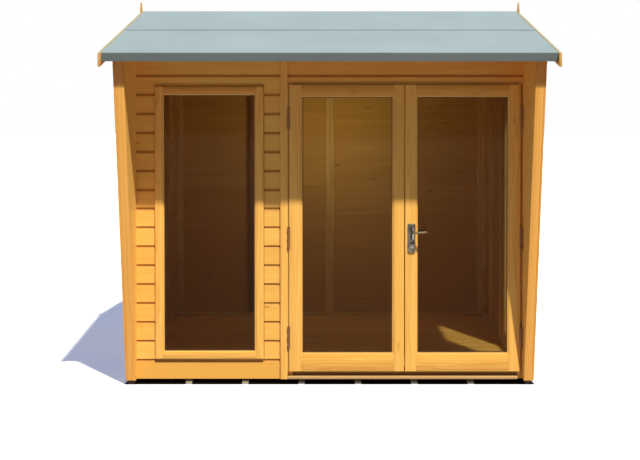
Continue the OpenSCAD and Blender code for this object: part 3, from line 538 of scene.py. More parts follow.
@dataclass
class Stack:
    """Boards and fittings gathered as whole arrays, to become one mesh.

    Points, grains, tones and darkenings hold a row for each point; loops, sides and shades one for each face.
    Edges flatter than smooth_deg are shaded round.
    """

    name: str
    seed: int
    smooth_deg: float = 40.0
    points: list[np.ndarray] = field(default_factory=list)
    grains: list[np.ndarray] = field(default_factory=list)
    tones: list[np.ndarray] = field(default_factory=list)
    darkenings: list[np.ndarray] = field(default_factory=list)
    loops: list[np.ndarray] = field(default_factory=list)
    sides: list[np.ndarray] = field(default_factory=list)
    shades: list[np.ndarray] = field(default_factory=list)
    count: int = 0
    material_index: int = 0

    def __post_init__(self) -> None:
        """Starts the stack's own fixed row of random numbers."""
        self.dice = np.random.default_rng(self.seed)

    def fresh_grain(self) -> np.ndarray:
        """Where a new board was cut from its log, in metres: along it, and the heart beside and behind it."""
        return np.array([
            self.dice.uniform(0, 60),
            self.dice.uniform(-0.09, 0.09),
            self.dice.uniform(0.03, 0.12),
        ])

    def fresh_tone(self, middle: float = 0.0, spread: float = 0.5) -> float:
        """How much darker a new board is than its fellows, drawn round a middle value."""
        return float(self.dice.normal(middle, spread))

    def carry(
        self,
        section: np.ndarray,
        stations: np.ndarray,
        place: Place,
        grain: np.ndarray | None = None,
        tone: float | np.ndarray | None = None,
        flip: bool = False,
        closed_ends: tuple[bool, bool] = (True, True),
        darkened: float | np.ndarray = 0.0,
        side_finish: int | np.ndarray | None = None,
    ) -> None:
        """Carries a section along a board: point (r, i) is the place of (station r, section point i).

        Args:
            section: (n, 2) outline, or (rings, n, 2) where it changes along the board.
            stations: (rings,) or (rings, n) distances along the board.
            place: turns (along, across, out) arrays into points in the frame.
            grain: the board's grain offset; a fresh one by default.
            tone: how much darker the board is, about -1 to 1, the same all along or by station;
                random by default.
            flip: true where place is a mirror image.
            closed_ends: whether the start and the end get a cap.
            darkened: how far its colour is darkened, 0 to 1, mostly painted shade: everywhere, (n,) round
            the section or (rings, 1) along the board.
            side_finish: material index of the sides of the section; the stack's own by default.
        """
        rings, n = len(stations), section.shape[-2]
        outline = np.broadcast_to(section, (rings, n, 2))
        along = stations[:, None] if stations.ndim == 1 else stations
        along = np.broadcast_to(along, (rings, n))
        across, out = outline[..., 0], outline[..., 1]
        grain = self.fresh_grain() if grain is None else grain
        tone = self.fresh_tone() if tone is None else tone
        self.points.append(place(along, across, out).reshape(-1, 3))
        self.grains.append((np.stack([along, across, out], -1) + grain).reshape(-1, 3))
        self.tones.append(np.repeat(np.broadcast_to(tone, rings), n))
        self.darkenings.append(np.broadcast_to(darkened, (rings, n)).ravel())
        index = self.count + np.arange(rings * n).reshape(rings, n)
        after = np.roll(index, -1, axis=1)
        quads = np.stack([index[:-1], after[:-1], after[1:], index[1:]], -1).reshape(-1, 4)
        caps = [cap for cap, wanted in zip((index[0][::-1], index[-1]), closed_ends) if wanted]
        if flip:
            quads, caps = quads[:, ::-1], [cap[::-1] for cap in caps]
        self.loops.append(np.concatenate([quads.ravel(), *caps]))
        self.sides.append(np.concatenate([np.full(len(quads), 4), np.full(len(caps), n)]))
        shade = np.broadcast_to(self.material_index if side_finish is None else side_finish, n)
        cap_shade = np.full(len(caps), self.material_index)
        self.shades.append(np.concatenate([np.tile(shade, rings - 1), cap_shade]))
        self.count += rings * n

    def board(
        self,
        low: Sequence[float],
        high: Sequence[float],
        run: Run,
        arris: float = 1.5 * MM,
        shape: Cut | None = None,
        tone: float | None = None,
        ease_ends: bool = True,
        darkened: float = 0.0,
    ) -> None:
        """Adds a straight board between two corners.

        Args:
            low: the lowest corner.
            high: the highest corner.
            run: the axis that the board runs along.
            arris: radius of its eased edges.
            shape: moves the finished points, such as a cut along a slope.
            tone: how much darker it is; random by default.
            ease_ends: whether the edges of its ends are eased too.
            darkened: how far its colour is darkened, 0 to 1, mostly painted shade.
        """
        low, high = np.array(low, float), np.array(high, float)
        axes = [(run.value + k) % 3 for k in range(3)]
        size = (high - low)[axes]
        arris = min(arris, size.min() / 3)
        section = planed(size[1], size[2], arris)
        if ease_ends:
            outline, stations = eased(section, 0, size[0], arris * 0.8)
        else:
            outline, stations = section, np.array([0, size[0]])

        def place(s: np.ndarray, u: np.ndarray, v: np.ndarray) -> np.ndarray:
            """Puts the board between its corners, with its axes in cyclic order."""
            found = np.zeros((*s.shape, 3))
            for axis, value in zip(axes, (s, u, v)):
                found[..., axis] = low[axis] + value
            return found if shape is None else shape(found)

        self.carry(outline, stations, place, tone=tone, darkened=darkened)

    def dome(self, centre: Sequence[float], normal: Sequence[float], radius: float, rise: float) -> None:
        """Adds a nail or screw head: rings of radius r * cos(a) at height rise * sin(a) on a face.

        Args:
            centre: the point on the face.
            normal: the way the head looks.
            radius: radius of the head.
            rise: how far it stands proud.
        """
        normal = np.array(normal, float)
        side = np.cross(normal, [0.3, 0.5, 0.8])
        side /= np.linalg.norm(side)
        other = np.cross(normal, side)
        a = np.array([0.0, 0.9, 1.45])
        section = circle(8, radius)[None] * np.cos(a)[:, None, None]
        origin = np.array(centre, float)

        def place(s: np.ndarray, u: np.ndarray, v: np.ndarray) -> np.ndarray:
            """Puts the head on its face."""
            return origin + s[..., None] * normal + u[..., None] * side + v[..., None] * other

        self.carry(section, rise * np.sin(a), place, tone=0.0, closed_ends=(False, True))

    def build(
        self,
        finishes: Sequence[Finish],
        slot: Slot,
        nodes: Sequence[str] = (),
        body: Body = Body.HOUSE,
    ) -> None:
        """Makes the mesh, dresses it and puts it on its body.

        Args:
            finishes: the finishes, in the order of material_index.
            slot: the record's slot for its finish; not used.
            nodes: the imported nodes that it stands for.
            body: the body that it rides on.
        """
        mesh = bpy.data.meshes.new(self.name)
        points, loops, sides = np.vstack(self.points), np.concatenate(self.loops), np.concatenate(self.sides)
        mesh.vertices.add(len(points))
        mesh.vertices.foreach_set("co", points.astype(np.float32).ravel())
        mesh.loops.add(len(loops))
        mesh.loops.foreach_set("vertex_index", loops.astype(np.int32))
        mesh.polygons.add(len(sides))
        mesh.polygons.foreach_set("loop_start", (np.cumsum(sides) - sides).astype(np.int32))
        mesh.polygons.foreach_set("material_index", np.concatenate(self.shades).astype(np.int32))
        mesh.update(calc_edges=True)
        mesh.validate()
        mesh.polygons.foreach_set("use_smooth", np.ones(len(mesh.polygons), bool))
        mesh.set_sharp_from_angle(angle=math.radians(self.smooth_deg))
        grain = mesh.attributes.new("grain", "FLOAT_VECTOR", "POINT")
        grain.data.foreach_set("vector", np.vstack(self.grains).astype(np.float32).ravel())
        for name, values in (("tone", self.tones), ("pool", self.darkenings)):
            layer = mesh.attributes.new(name, "FLOAT", "POINT")
            layer.data.foreach_set("value", np.concatenate(values).astype(np.float32))
        piece = bpy.data.objects.new(self.name, mesh)
        bpy.context.scene.collection.objects.link(piece)
        for finish in finishes:
            mesh.materials.append(finish.material())
        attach(piece, body.value)
        if nodes:
            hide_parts(*nodes)
        log.info("%s: %d points, %d faces on %s", self.name, len(points), len(sides), body.value)


# ---------- the roof's planes ----------


@dataclass(frozen=True)
class Roofline:
    """Both roof planes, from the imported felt, bargeboards and ridge."""

    felt_front: float = cad("front_lower_felt")[0][1]
    felt_back: float = cad("back_felt")[1][1]
    eave_z: float = cad("back_felt")[0][2] + 48 * MM
    ridge_y: float = (cad("finials")[0][1] + cad("finials")[1][1]) / 2
    ridge_z: float = cad("front_upper_felt")[1][2] - 3 * MM

    @property
    def front_slope(self) -> float:
        """Rise of the front slope for each metre back."""
        return (self.ridge_z - self.eave_z) / (self.ridge_y - self.felt_front)

    @property
    def back_slope(self) -> float:
        """Rise of the back slope for each metre forward."""
        return (self.ridge_z - self.eave_z) / (self.felt_back - self.ridge_y)

    def front(self, y: np.ndarray | float, depth: np.ndarray | float = 0.0) -> np.ndarray | float:
        """Height of a plane that lies a depth below the front felt, square to the slope."""
        drop = depth * math.hypot(1, self.front_slope)
        return self.eave_z + self.front_slope * (y - self.felt_front) - drop

    def back(self, y: np.ndarray | float, depth: np.ndarray | float = 0.0) -> np.ndarray | float:
        """Height of a plane that lies a depth below the back felt, square to the slope."""
        drop = depth * math.hypot(1, self.back_slope)
        return self.eave_z + self.back_slope * (self.felt_back - y) - drop

    def under(self, y: np.ndarray | float, depth: float) -> np.ndarray | float:
        """Height of the lower of the two planes."""
        return np.minimum(self.front(y, depth), self.back(y, depth))

    def stretch(self, z: float, depth: float) -> tuple[float, float] | None:
        """From where to where a height lies below both planes.

        Args:
            z: the height.
            depth: how far the planes lie below the felt.

        Returns:
            The first and last place along Y, or None above the ridge.
        """
        if self.under(self.ridge_y, depth) <= z:
            return None
        first = self.felt_front + (z - self.front(self.felt_front, depth)) / self.front_slope
        last = self.felt_back - (z - self.back(self.felt_back, depth)) / self.back_slope
        return first, last

    def cut(self, depth: float) -> Cut:
        """A shape that cuts timber off along both slopes, a depth below the felt."""

        def shape(points: np.ndarray) -> np.ndarray:
            """Lowers every point that stands above the roof's underside."""
            points[..., 2] = np.minimum(points[..., 2], self.under(points[..., 1], depth))
            return points

        return shape


ROOF = Roofline()
FELT_T, DECK_T, SEAT = 3 * MM, 12 * MM, 0.1 * MM
UNDER_DECK = FELT_T + DECK_T + 2 * SEAT
# Sizes and places that several sub-assemblies share.
STUD, BUTT = 32 * MM, 0.3 * MM
BEARERS, BEARER_W = 8, 38 * MM
FACE = cad("front_cladding")[0][1]
FLOOR_TOP = cad("floor_deck")[1][2]
POSTS_END = cad("door_posts")[1][0]


# ---------- shiplap ----------


@dataclass
class Shiplap:
    """Rows of shiplap on one wall, round a hole and under the roof."""

    stack: Stack
    face: float
    axis: Run
    outward: int
    thickness: float = 12 * MM
    base: float = 28 * MM
    pitch: float = 114 * MM
    groove_h: float = 17 * MM
    groove_d: float = 6 * MM
    foot_tone: float = 3.2
    low_tone: float = 0.0
    low_reach: float = 1.3
    cut_step: float = 30 * MM

    def place(self, s: np.ndarray, u: np.ndarray, v: np.ndarray) -> np.ndarray:
        """Point of the wall at s along it, u up and v out from the boards' backs."""
        depth = self.face - self.outward * (self.thickness - v)
        return np.stack([s, depth, u] if self.axis is Run.X else [depth, s, u], -1)

    def piece(
        self, start: Edge, end: Edge, section: np.ndarray, grain: np.ndarray, tone: float, cut: bool
    ) -> None:
        """One length of board, whose ends may slant with height and whose top may follow the roof.

        Args:
            start: where the board starts at a height.
            end: where it ends at a height.
            section: outline (up, out).
            grain: grain offset of the whole row.
            tone: tone of the whole row.
            cut: whether the roof cuts it.
        """
        first, last = start(section[:, 0]), end(section[:, 0])
        steps = max(2, int((last.max() - first.min()) / self.cut_step)) if cut else 2
        stations = first + (last - first) * np.linspace(0, 1, steps)[:, None]
        below = ROOF.cut(UNDER_DECK)

        def place(s: np.ndarray, u: np.ndarray, v: np.ndarray) -> np.ndarray:
            """Puts the board on the wall and cuts it under the roof."""
            return below(self.place(s, u, v)) if cut else self.place(s, u, v)

        # The board's first side is its back; its scoop, which has all but five of its points, gets painted
        # shade.
        back = np.zeros(len(section), int)
        back[0] = 1
        scoop = np.zeros(len(section))
        scoop[2:-3] = 1.0
        self.stack.carry(section, stations, place, grain, tone, darkened=scoop, side_finish=back,
                         flip=(self.outward > 0) == (self.axis is Run.X))

    def rows(
        self,
        start: Edge,
        end: Edge,
        low: float,
        high: float,
        hole: tuple[float, float, float, float] | None = None,
        gable: bool = False,
    ) -> None:
        """Boards from the lowest row to the highest, left out over the hole.

        Args:
            start: where the wall starts at a height.
            end: where the wall ends at a height.
            low: lowest height of the cladding.
            high: highest height of the cladding.
            hole: (start, end, foot, top) of a window's hole.
            gable: whether the wall ends under the roof's slopes.
        """
        for row in range(math.ceil((high - self.base) / self.pitch)):
            foot = self.base if row == 0 else self.base + self.groove_h / 3 + row * self.pitch
            top = self.base + self.groove_h / 3 + (row + 1) * self.pitch
            if top <= low or foot >= high:
                continue
            outline = shiplap(foot, top, self.thickness, self.groove_h, self.groove_d)
            grain, tone = self.stack.fresh_grain(), self.stack.fresh_tone()
            tone += self.foot_tone if row == 0 else self.low_tone * max(0.0, 1 - foot / self.low_reach)
            parts = [(start, end, max(low, foot), min(high, top))]
            if hole and foot < hole[3] and top > hole[2]:
                near, far = always(hole[0]), always(hole[1])
                parts = [(start, near, foot, top), (far, end, foot, top)]
                if foot < hole[2]:
                    parts.append((near, far, foot, hole[2]))
                if top > hole[3]:
                    parts.append((near, far, hole[3], top))
            for first, last, z1, z2 in parts:
                section = outline.copy()
                section[:, 0] = np.clip(section[:, 0], z1, min(z2, high))
                cut = gable
                if gable:
                    level = np.array([z2])
                    inside, above = ROOF.stretch(z1, UNDER_DECK), ROOF.stretch(z2, UNDER_DECK)
                    if inside is None:
                        continue
                    if above and above[0] <= first(level)[0] and above[1] >= last(level)[0]:
                        cut = False
                    first, last = held(first, inside[0], np.maximum), held(last, inside[1], np.minimum)
                self.piece(first, last, section, grain, tone, cut)


# ---------- base ----------


@dataclass
class Base:
    """Floor bearers on the ground and the boards of the floor on them."""

    board_w: float = 116 * MM
    gap: float = 1.2 * MM
    arris: float = 1.2 * MM
    set_back: float = 7 * MM
    # Share of an inner bearer's height above which its front has full painted shade, and the painted shade
    # left at its foot.
    shaded_share: float = 0.55
    foot_shade: float = 0.25

    def build(self) -> None:
        """Builds the bearers, with painted shade on their upper part and over the outer two, and the floor
        boards.
        """
        low, high = cad("floor_bearers")
        stack = Stack("floor_bearers_sawn", seed=11)
        front = FACE + self.set_back
        section = planed(BEARER_W, high[1] - front, self.arris)
        heights = np.array([0.0, self.shaded_share, 1.0]) * high[2]
        shading = np.array([[self.foot_shade], [1.0], [1.0]])
        for n, x in enumerate(np.linspace(low[0], high[0] - BEARER_W, BEARERS)):
            # The outer two bearers are painted shade all over, under the wings' trims.
            if n in (0, BEARERS - 1):
                stack.board((x, low[1], 0), (x + BEARER_W, high[1], high[2]), Run.Y, arris=self.arris,
                            darkened=1.0)
            else:
                stack.carry(section, heights, lambda s, u, v, x=x: np.stack([x + u, front + v, s], -1),
                            darkened=shading)
        stack.build([BEARER], Slot.BEARER, ["floor_bearers"])

        low, high = cad("floor_deck")
        stack = Stack("floor_boards", seed=12)
        count = math.ceil((high[1] - low[1]) / self.board_w)
        edges = np.linspace(low[1], high[1], count + 1)
        for y1, y2 in zip(edges[:-1], edges[1:]):
            stack.board((low[0], y1 + self.gap / 2, low[2]), (high[0], y2 - self.gap / 2, high[2]), Run.X,
                        arris=2 * MM)
        stack.build([FLOORING], Slot.FLOOR, ["floor_deck"])


# ---------- walls ----------


@dataclass
class Walls:
    """Cladding, framing and cover strips of the front, the sides and the back."""

    side_gap: float = 3 * MM
    recess: float = 21 * MM
    clad_t: float = 12 * MM
    strip_w: float = 45 * MM
    sill_h: float = 19 * MM
    liner_t: float = 6 * MM
    liner_foot: float = 50 * MM
    # How far the studs and the rails round a window lie behind its casing.
    stud_lap: float = 19 * MM
    rail_lap: float = 8 * MM
    corner_stud: float = 34 * MM
    wing_stud_top: float = 1.86
    back_panel: float = 1.218
    # Tones of the studs: the right wall's are paler, painted sunlight, and those in mid panel are dark,
    # painted shade.
    left_tone: float = 0.3
    right_tone: float = -1.8
    back_tones: tuple[float, float, float] = (-0.9, 5.0, -1.0)

    def hole(self, casing: str, axis: Run) -> tuple[float, float, float, float]:
        """The hole round a window casing: its start and end along the wall, foot and top."""
        low, high = cad(casing)
        return (low[axis.value] - self.side_gap, high[axis.value] + self.side_gap,
                low[2] - self.recess, high[2] + self.recess)

    def build(self) -> None:
        """Builds every wall."""
        self.front()
        self.strips()
        for side, name in ((-1, "left"), (1, "right")):
            self.side(side, name)
            self.side_framing(side, name)
        self.back()
        self.front_framing()
        self.back_framing()

    def front(self) -> None:
        """The window bay's shiplap and the boards over the doors."""
        for node, name, finish, seed, hole in (
            ("front_cladding", "front_shiplap_boards", CLADDING, 21, self.hole("window_casing", Run.X)),
            ("header_cladding", "boards_over_the_doors", HEADER, 22, None),
        ):
            low, high = cad(node)
            stack = Stack(name, seed=seed)
            Shiplap(stack, low[1], Run.X, -1).rows(always(low[0]), always(high[0]), low[2], high[2], hole)
            stack.build([finish, INNER], Slot.CLADDING, [node])

    def strips(self) -> None:
        """Cover strip beside the doors, the strips of the back wall and the door sill."""
        low, high = cad("cover_strip")
        stack = Stack("cover_strip_planed", seed=23)
        stack.board(low, high, Run.Z, arris=2 * MM, tone=-0.2)
        stack.build([JOINERY], Slot.CLADDING, ["cover_strip"])

        low, high = cad("back_strips")
        stack = Stack("back_wall_strips", seed=24)
        for x in (low[0], -self.strip_w / 2, high[0] - self.strip_w):
            stack.board((x, low[1], low[2]), (x + self.strip_w, high[1], high[2]), Run.Z, arris=2 * MM)
        stack.build([JOINERY], Slot.CLADDING, ["back_strips"])

        low, high = cad("door_sill")
        stack = Stack("door_sill_and_stop", seed=25)
        end, bar = POSTS_END - STUD, FACE + self.clad_t
        stack.board(low, (end, bar - BUTT, low[2] + self.sill_h), Run.X, arris=3.5 * MM)
        # The stop behind the doors takes the weather bar's finish: painted shade.
        stack.material_index = 1
        stack.board((low[0] + STUD, bar, FLOOR_TOP), (end, high[1], high[2]), Run.X)
        stack.build([SILL, WEATHER_BAR], Slot.CLADDING, ["door_sill"])

    def side(self, side: int, name: str) -> None:
        """Shiplap of one side with its slanted front edge, its gable and its window's hole.

        Args:
            side: -1 for the left wall and 1 for the right.
            name: left or right.
        """
        low, high = cad(f"{name}_wall")
        stack = Stack(f"{name}_shiplap_boards", seed=31 if side < 0 else 32)
        wall = Shiplap(stack, high[0] if side > 0 else low[0], Run.Y, side, low_tone=4.0)
        wall.rows(wing_edge(), always(high[1]), cad("wing_trims")[0][2], high[2],
                  self.hole(f"{name}_window_casing", Run.Y), gable=True)
        stack.build([CLADDING, INNER], Slot.CLADDING, [f"{name}_wall"])

    def side_framing(self, side: int, name: str) -> None:
        """Rails, studs, window trimmers and the slanted wing stud of one side.

        Args:
            side: -1 for the left wall and 1 for the right.
            name: left or right.
        """
        low, high = cad(f"{name}_wall_framing")
        stack = Stack(f"{name}_wall_studs_and_rails", seed=33 if side < 0 else 34)
        x1, x2, back = low[0], high[0], high[1]
        start, w = FACE + self.clad_t, STUD
        window_low, window_high = cad(f"{name}_window_casing")
        first, last = window_low[1] + self.stud_lap, window_high[1] - self.stud_lap
        stack.board((x1, start, FLOOR_TOP), (x2, back, FLOOR_TOP + w), Run.Y, tone=0.4)
        for y in (start, first - w, last, ROOF.ridge_y - w - BUTT, ROOF.ridge_y, (ROOF.ridge_y + back) / 2,
                  back - w):
            width = self.corner_stud if y == start else w
            tone = stack.fresh_tone(self.left_tone if side < 0 else self.right_tone, 0.3)
            stack.board((x1, y, FLOOR_TOP + w + BUTT), (x2, y + width, ROOF.ridge_z), Run.Z, tone=tone,
                        shape=ROOF.cut(UNDER_DECK + w + BUTT), ease_ends=False)
        for z in (window_low[2] + self.rail_lap - w, window_high[2] - self.rail_lap):
            stack.board((x1, first + BUTT, z), (x2, last - BUTT, z + w), Run.Y)
        section = planed(x2 - x1, w)
        for y1, y2, plane in ((low[1] + 2 * MM, ROOF.ridge_y - BUTT, ROOF.front),
                              (ROOF.ridge_y, back, ROOF.back)):
            stack.carry(section, np.array([y1, y2]), on_slope(x1, plane, UNDER_DECK), flip=True)
        edge, foot_z = wing_edge(), low[2]

        def slanted(s: np.ndarray, u: np.ndarray, v: np.ndarray) -> np.ndarray:
            """The stud that lies along the back of the slanted trim."""
            z = foot_z + s
            reach = np.minimum(v, start - BUTT - edge(z))
            return np.stack([x1 + u, edge(z) + reach, z], -1)

        # It is wider than the others by the share that its slant takes.
        stack.carry(planed(x2 - x1, w * 1.02)[::-1], np.array([0, self.wing_stud_top - foot_z]), slanted,
                    flip=True)
        stack.build([SAWN], Slot.FRAMING, [f"{name}_wall_framing"])

    def back(self) -> None:
        """The two panels of the back wall."""
        low, high = cad("back_wall")
        stack = Stack("back_shiplap_boards", seed=41)
        wall = Shiplap(stack, high[1], Run.X, 1, low_tone=5.0)
        for x1, x2 in ((low[0], -BUTT / 2), (BUTT / 2, high[0])):
            wall.rows(always(x1), always(x2), low[2], high[2])
        stack.build([CLADDING, INNER], Slot.CLADDING, ["back_wall"])

    def front_framing(self) -> None:
        """Studs and rails of the window bay, the door posts and the head over the doors."""
        low, high = cad("front_framing")
        w = STUD
        window_low, window_high = cad("window_casing")
        first, last = window_low[0] + self.stud_lap, window_high[0] - self.stud_lap
        stack = Stack("front_studs_and_rails", seed=42)
        for z in (low[2], high[2] - w):
            stack.board((low[0], low[1], z), (high[0], high[1], z + w), Run.X)
        for x in (low[0], first - w, last, high[0] - w):
            stack.board((x, low[1], low[2] + w + BUTT), (x + w, high[1], high[2] - w - BUTT), Run.Z)
        for z in (window_low[2] + self.rail_lap - w, window_high[2] - self.rail_lap):
            stack.board((first + BUTT, low[1], z), (last - BUTT, high[1], z + w), Run.X)
        stack.build([SAWN], Slot.FRAMING, ["front_framing"])

        post_low, post_high = cad("door_posts")
        stack = Stack("door_posts_and_liner", seed=43)
        for x in (post_low[0], post_high[0] - w):
            stack.board((x, low[1], FLOOR_TOP), (x + w, high[1], post_high[2]), Run.Z)
        stack.board((post_high[0] - self.liner_t, post_low[1], self.liner_foot),
                    (post_high[0], low[1] - BUTT, cad("header_cladding")[0][2] - BUTT), Run.Z)
        stack.build([JOINERY], Slot.FRAMING, ["door_posts"])

        stack = Stack("door_head_rail", seed=44)
        stack.board(*cad("door_head"), Run.X)
        stack.build([SAWN], Slot.FRAMING, ["door_head"])

    def back_framing(self) -> None:
        """Studs and rails of the two back panels; the studs in mid panel get painted shade."""
        low, high = cad("back_wall_framing")
        w = STUD
        stack = Stack("back_studs_and_rails", seed=45)
        for side in (-1, 1):
            x1, x2 = sorted((side * BUTT / 2, side * high[0]))
            for z in (low[2], high[2] - w):
                stack.board((x1, low[1], z), (x2, high[1], z + w), Run.X)
            places = (BUTT / 2, (self.back_panel - w) / 2, high[0] - w)
            for x, tone, darkened in zip(places, self.back_tones, (0.0, 1.0, 0.0)):
                x1, x2 = sorted((side * x, side * (x + w)))
                stack.board((x1, low[1], low[2] + w + BUTT), (x2, high[1], high[2] - w - BUTT), Run.Z,
                            tone=tone, darkened=darkened)
        stack.build([SAWN], Slot.FRAMING, ["back_wall_framing"])


def wing_edge() -> Edge:
    """Where a wing's cladding starts at a height: on the straight line behind its slanted trim.

    Returns:
        The edge, which runs from the trim's foot to the front of the wall under the roof.
    """
    _, top_y, foot_z = cad("left_wall")[0]
    back_foot = cad("wing_trims")[1][1]
    top_z = ROOF.front(top_y, UNDER_DECK)
    return lambda z: back_foot + SEAT + (top_y - back_foot) * (z - foot_z) / (top_z - foot_z)


def on_slope(x0: float, plane: Callable, depth: float) -> Place:
    """Lays a section (across X, down from the roof) along one roof slope with plumb ends."""
    return lambda s, u, v: np.stack([x0 + u, s, plane(s, depth + v)], -1)


# ---------- wings ----------


@dataclass
class Wings:
    """The linings and slanted front trims of the two wings."""

    # Height from which the trims get painted shade under the eave, and how soon it is full.
    shade_z: float = 1777 * MM
    lining_t: float = 12 * MM
    trim_d: float = 14 * MM
    trim_gap: float = 0.4 * MM
    front_foot: float = 38 * MM
    end_ease: float = 0.0006
    shade_blend: float = 0.012

    def build(self) -> None:
        """Builds the linings and the trims of both wings."""
        self.linings()
        self.trims()

    def linings(self) -> None:
        """Inner boards of the wings: (x + u, edge + v * (back - edge), s), cut under the roof."""
        low, high = cad("wing_linings")
        edge, below = wing_edge(), ROOF.cut(UNDER_DECK)
        section = planed(self.lining_t, 1.0, 1 * MM)
        stack = Stack("wing_lining_boards", seed=51)
        for x in (low[0], high[0] - self.lining_t):
            # The linings' tone is paler still: painted light.
            tone = stack.fresh_tone(-1.2, 0.2)
            for z1, z2, back in ((low[2], FLOOR_TOP, FACE + self.lining_t - BUTT),
                                 (FLOOR_TOP, ROOF.front(high[1], UNDER_DECK), high[1])):
                stack.carry(section, np.linspace(z1, z2, 24), lambda s, u, v, x=x, back=back: below(
                    np.stack([x + u, edge(s) + v * (back - edge(s)), s], -1)), tone=tone)
        stack.build([LINING], Slot.CLADDING, ["wing_linings"])

    def trims(self) -> None:
        """Slanted boards at the wings' front: their edges run straight from the foot to the eave."""
        low, high = cad("wing_trims")
        foot, top = FACE - self.front_foot, low[1]
        back_foot, back_top = high[1], cad("left_wall")[0][1]
        below = ROOF.cut(UNDER_DECK)
        stack = Stack("slanted_wing_trims", seed=52)
        # Under the eave the trims get painted shade, from the height where the eaves' shadow ends.
        shading = (self.shade_z - low[2]) / (high[2] - low[2])
        stations = np.array([0.0, self.end_ease, 0.5, shading, shading + self.shade_blend, 1 - self.end_ease, 1.0])
        painted_shade = np.where(stations > shading, 1.0, 0.0)[:, None]
        cap = high[0] - self.lining_t
        for side in (-1, 1):
            for x1, x2, arris, lean in ((POSTS_END, cap - self.trim_gap, 2 * MM, -1.2),
                                        (cap, high[0], 1.5 * MM, 0.0)):
                a, b = sorted((side * x1, side * x2))

                def place(s: np.ndarray, u: np.ndarray, v: np.ndarray, a: float = a) -> np.ndarray:
                    """Point of a trim at the share s of its height."""
                    front = foot + (top - foot) * s
                    depth = v / self.trim_d * ((back_foot - foot) * (1 - s) + (back_top - top) * s)
                    return below(np.stack([a + u, front + depth, low[2] + (high[2] - low[2]) * s], -1))

                stack.carry(planed(b - a, self.trim_d, arris), stations, place, flip=True,
                            tone=lean + 5.0 * painted_shade[:, 0], darkened=painted_shade)
        stack.build([TRIM], Slot.CLADDING, ["wing_trims"])


# ---------- joinery ----------


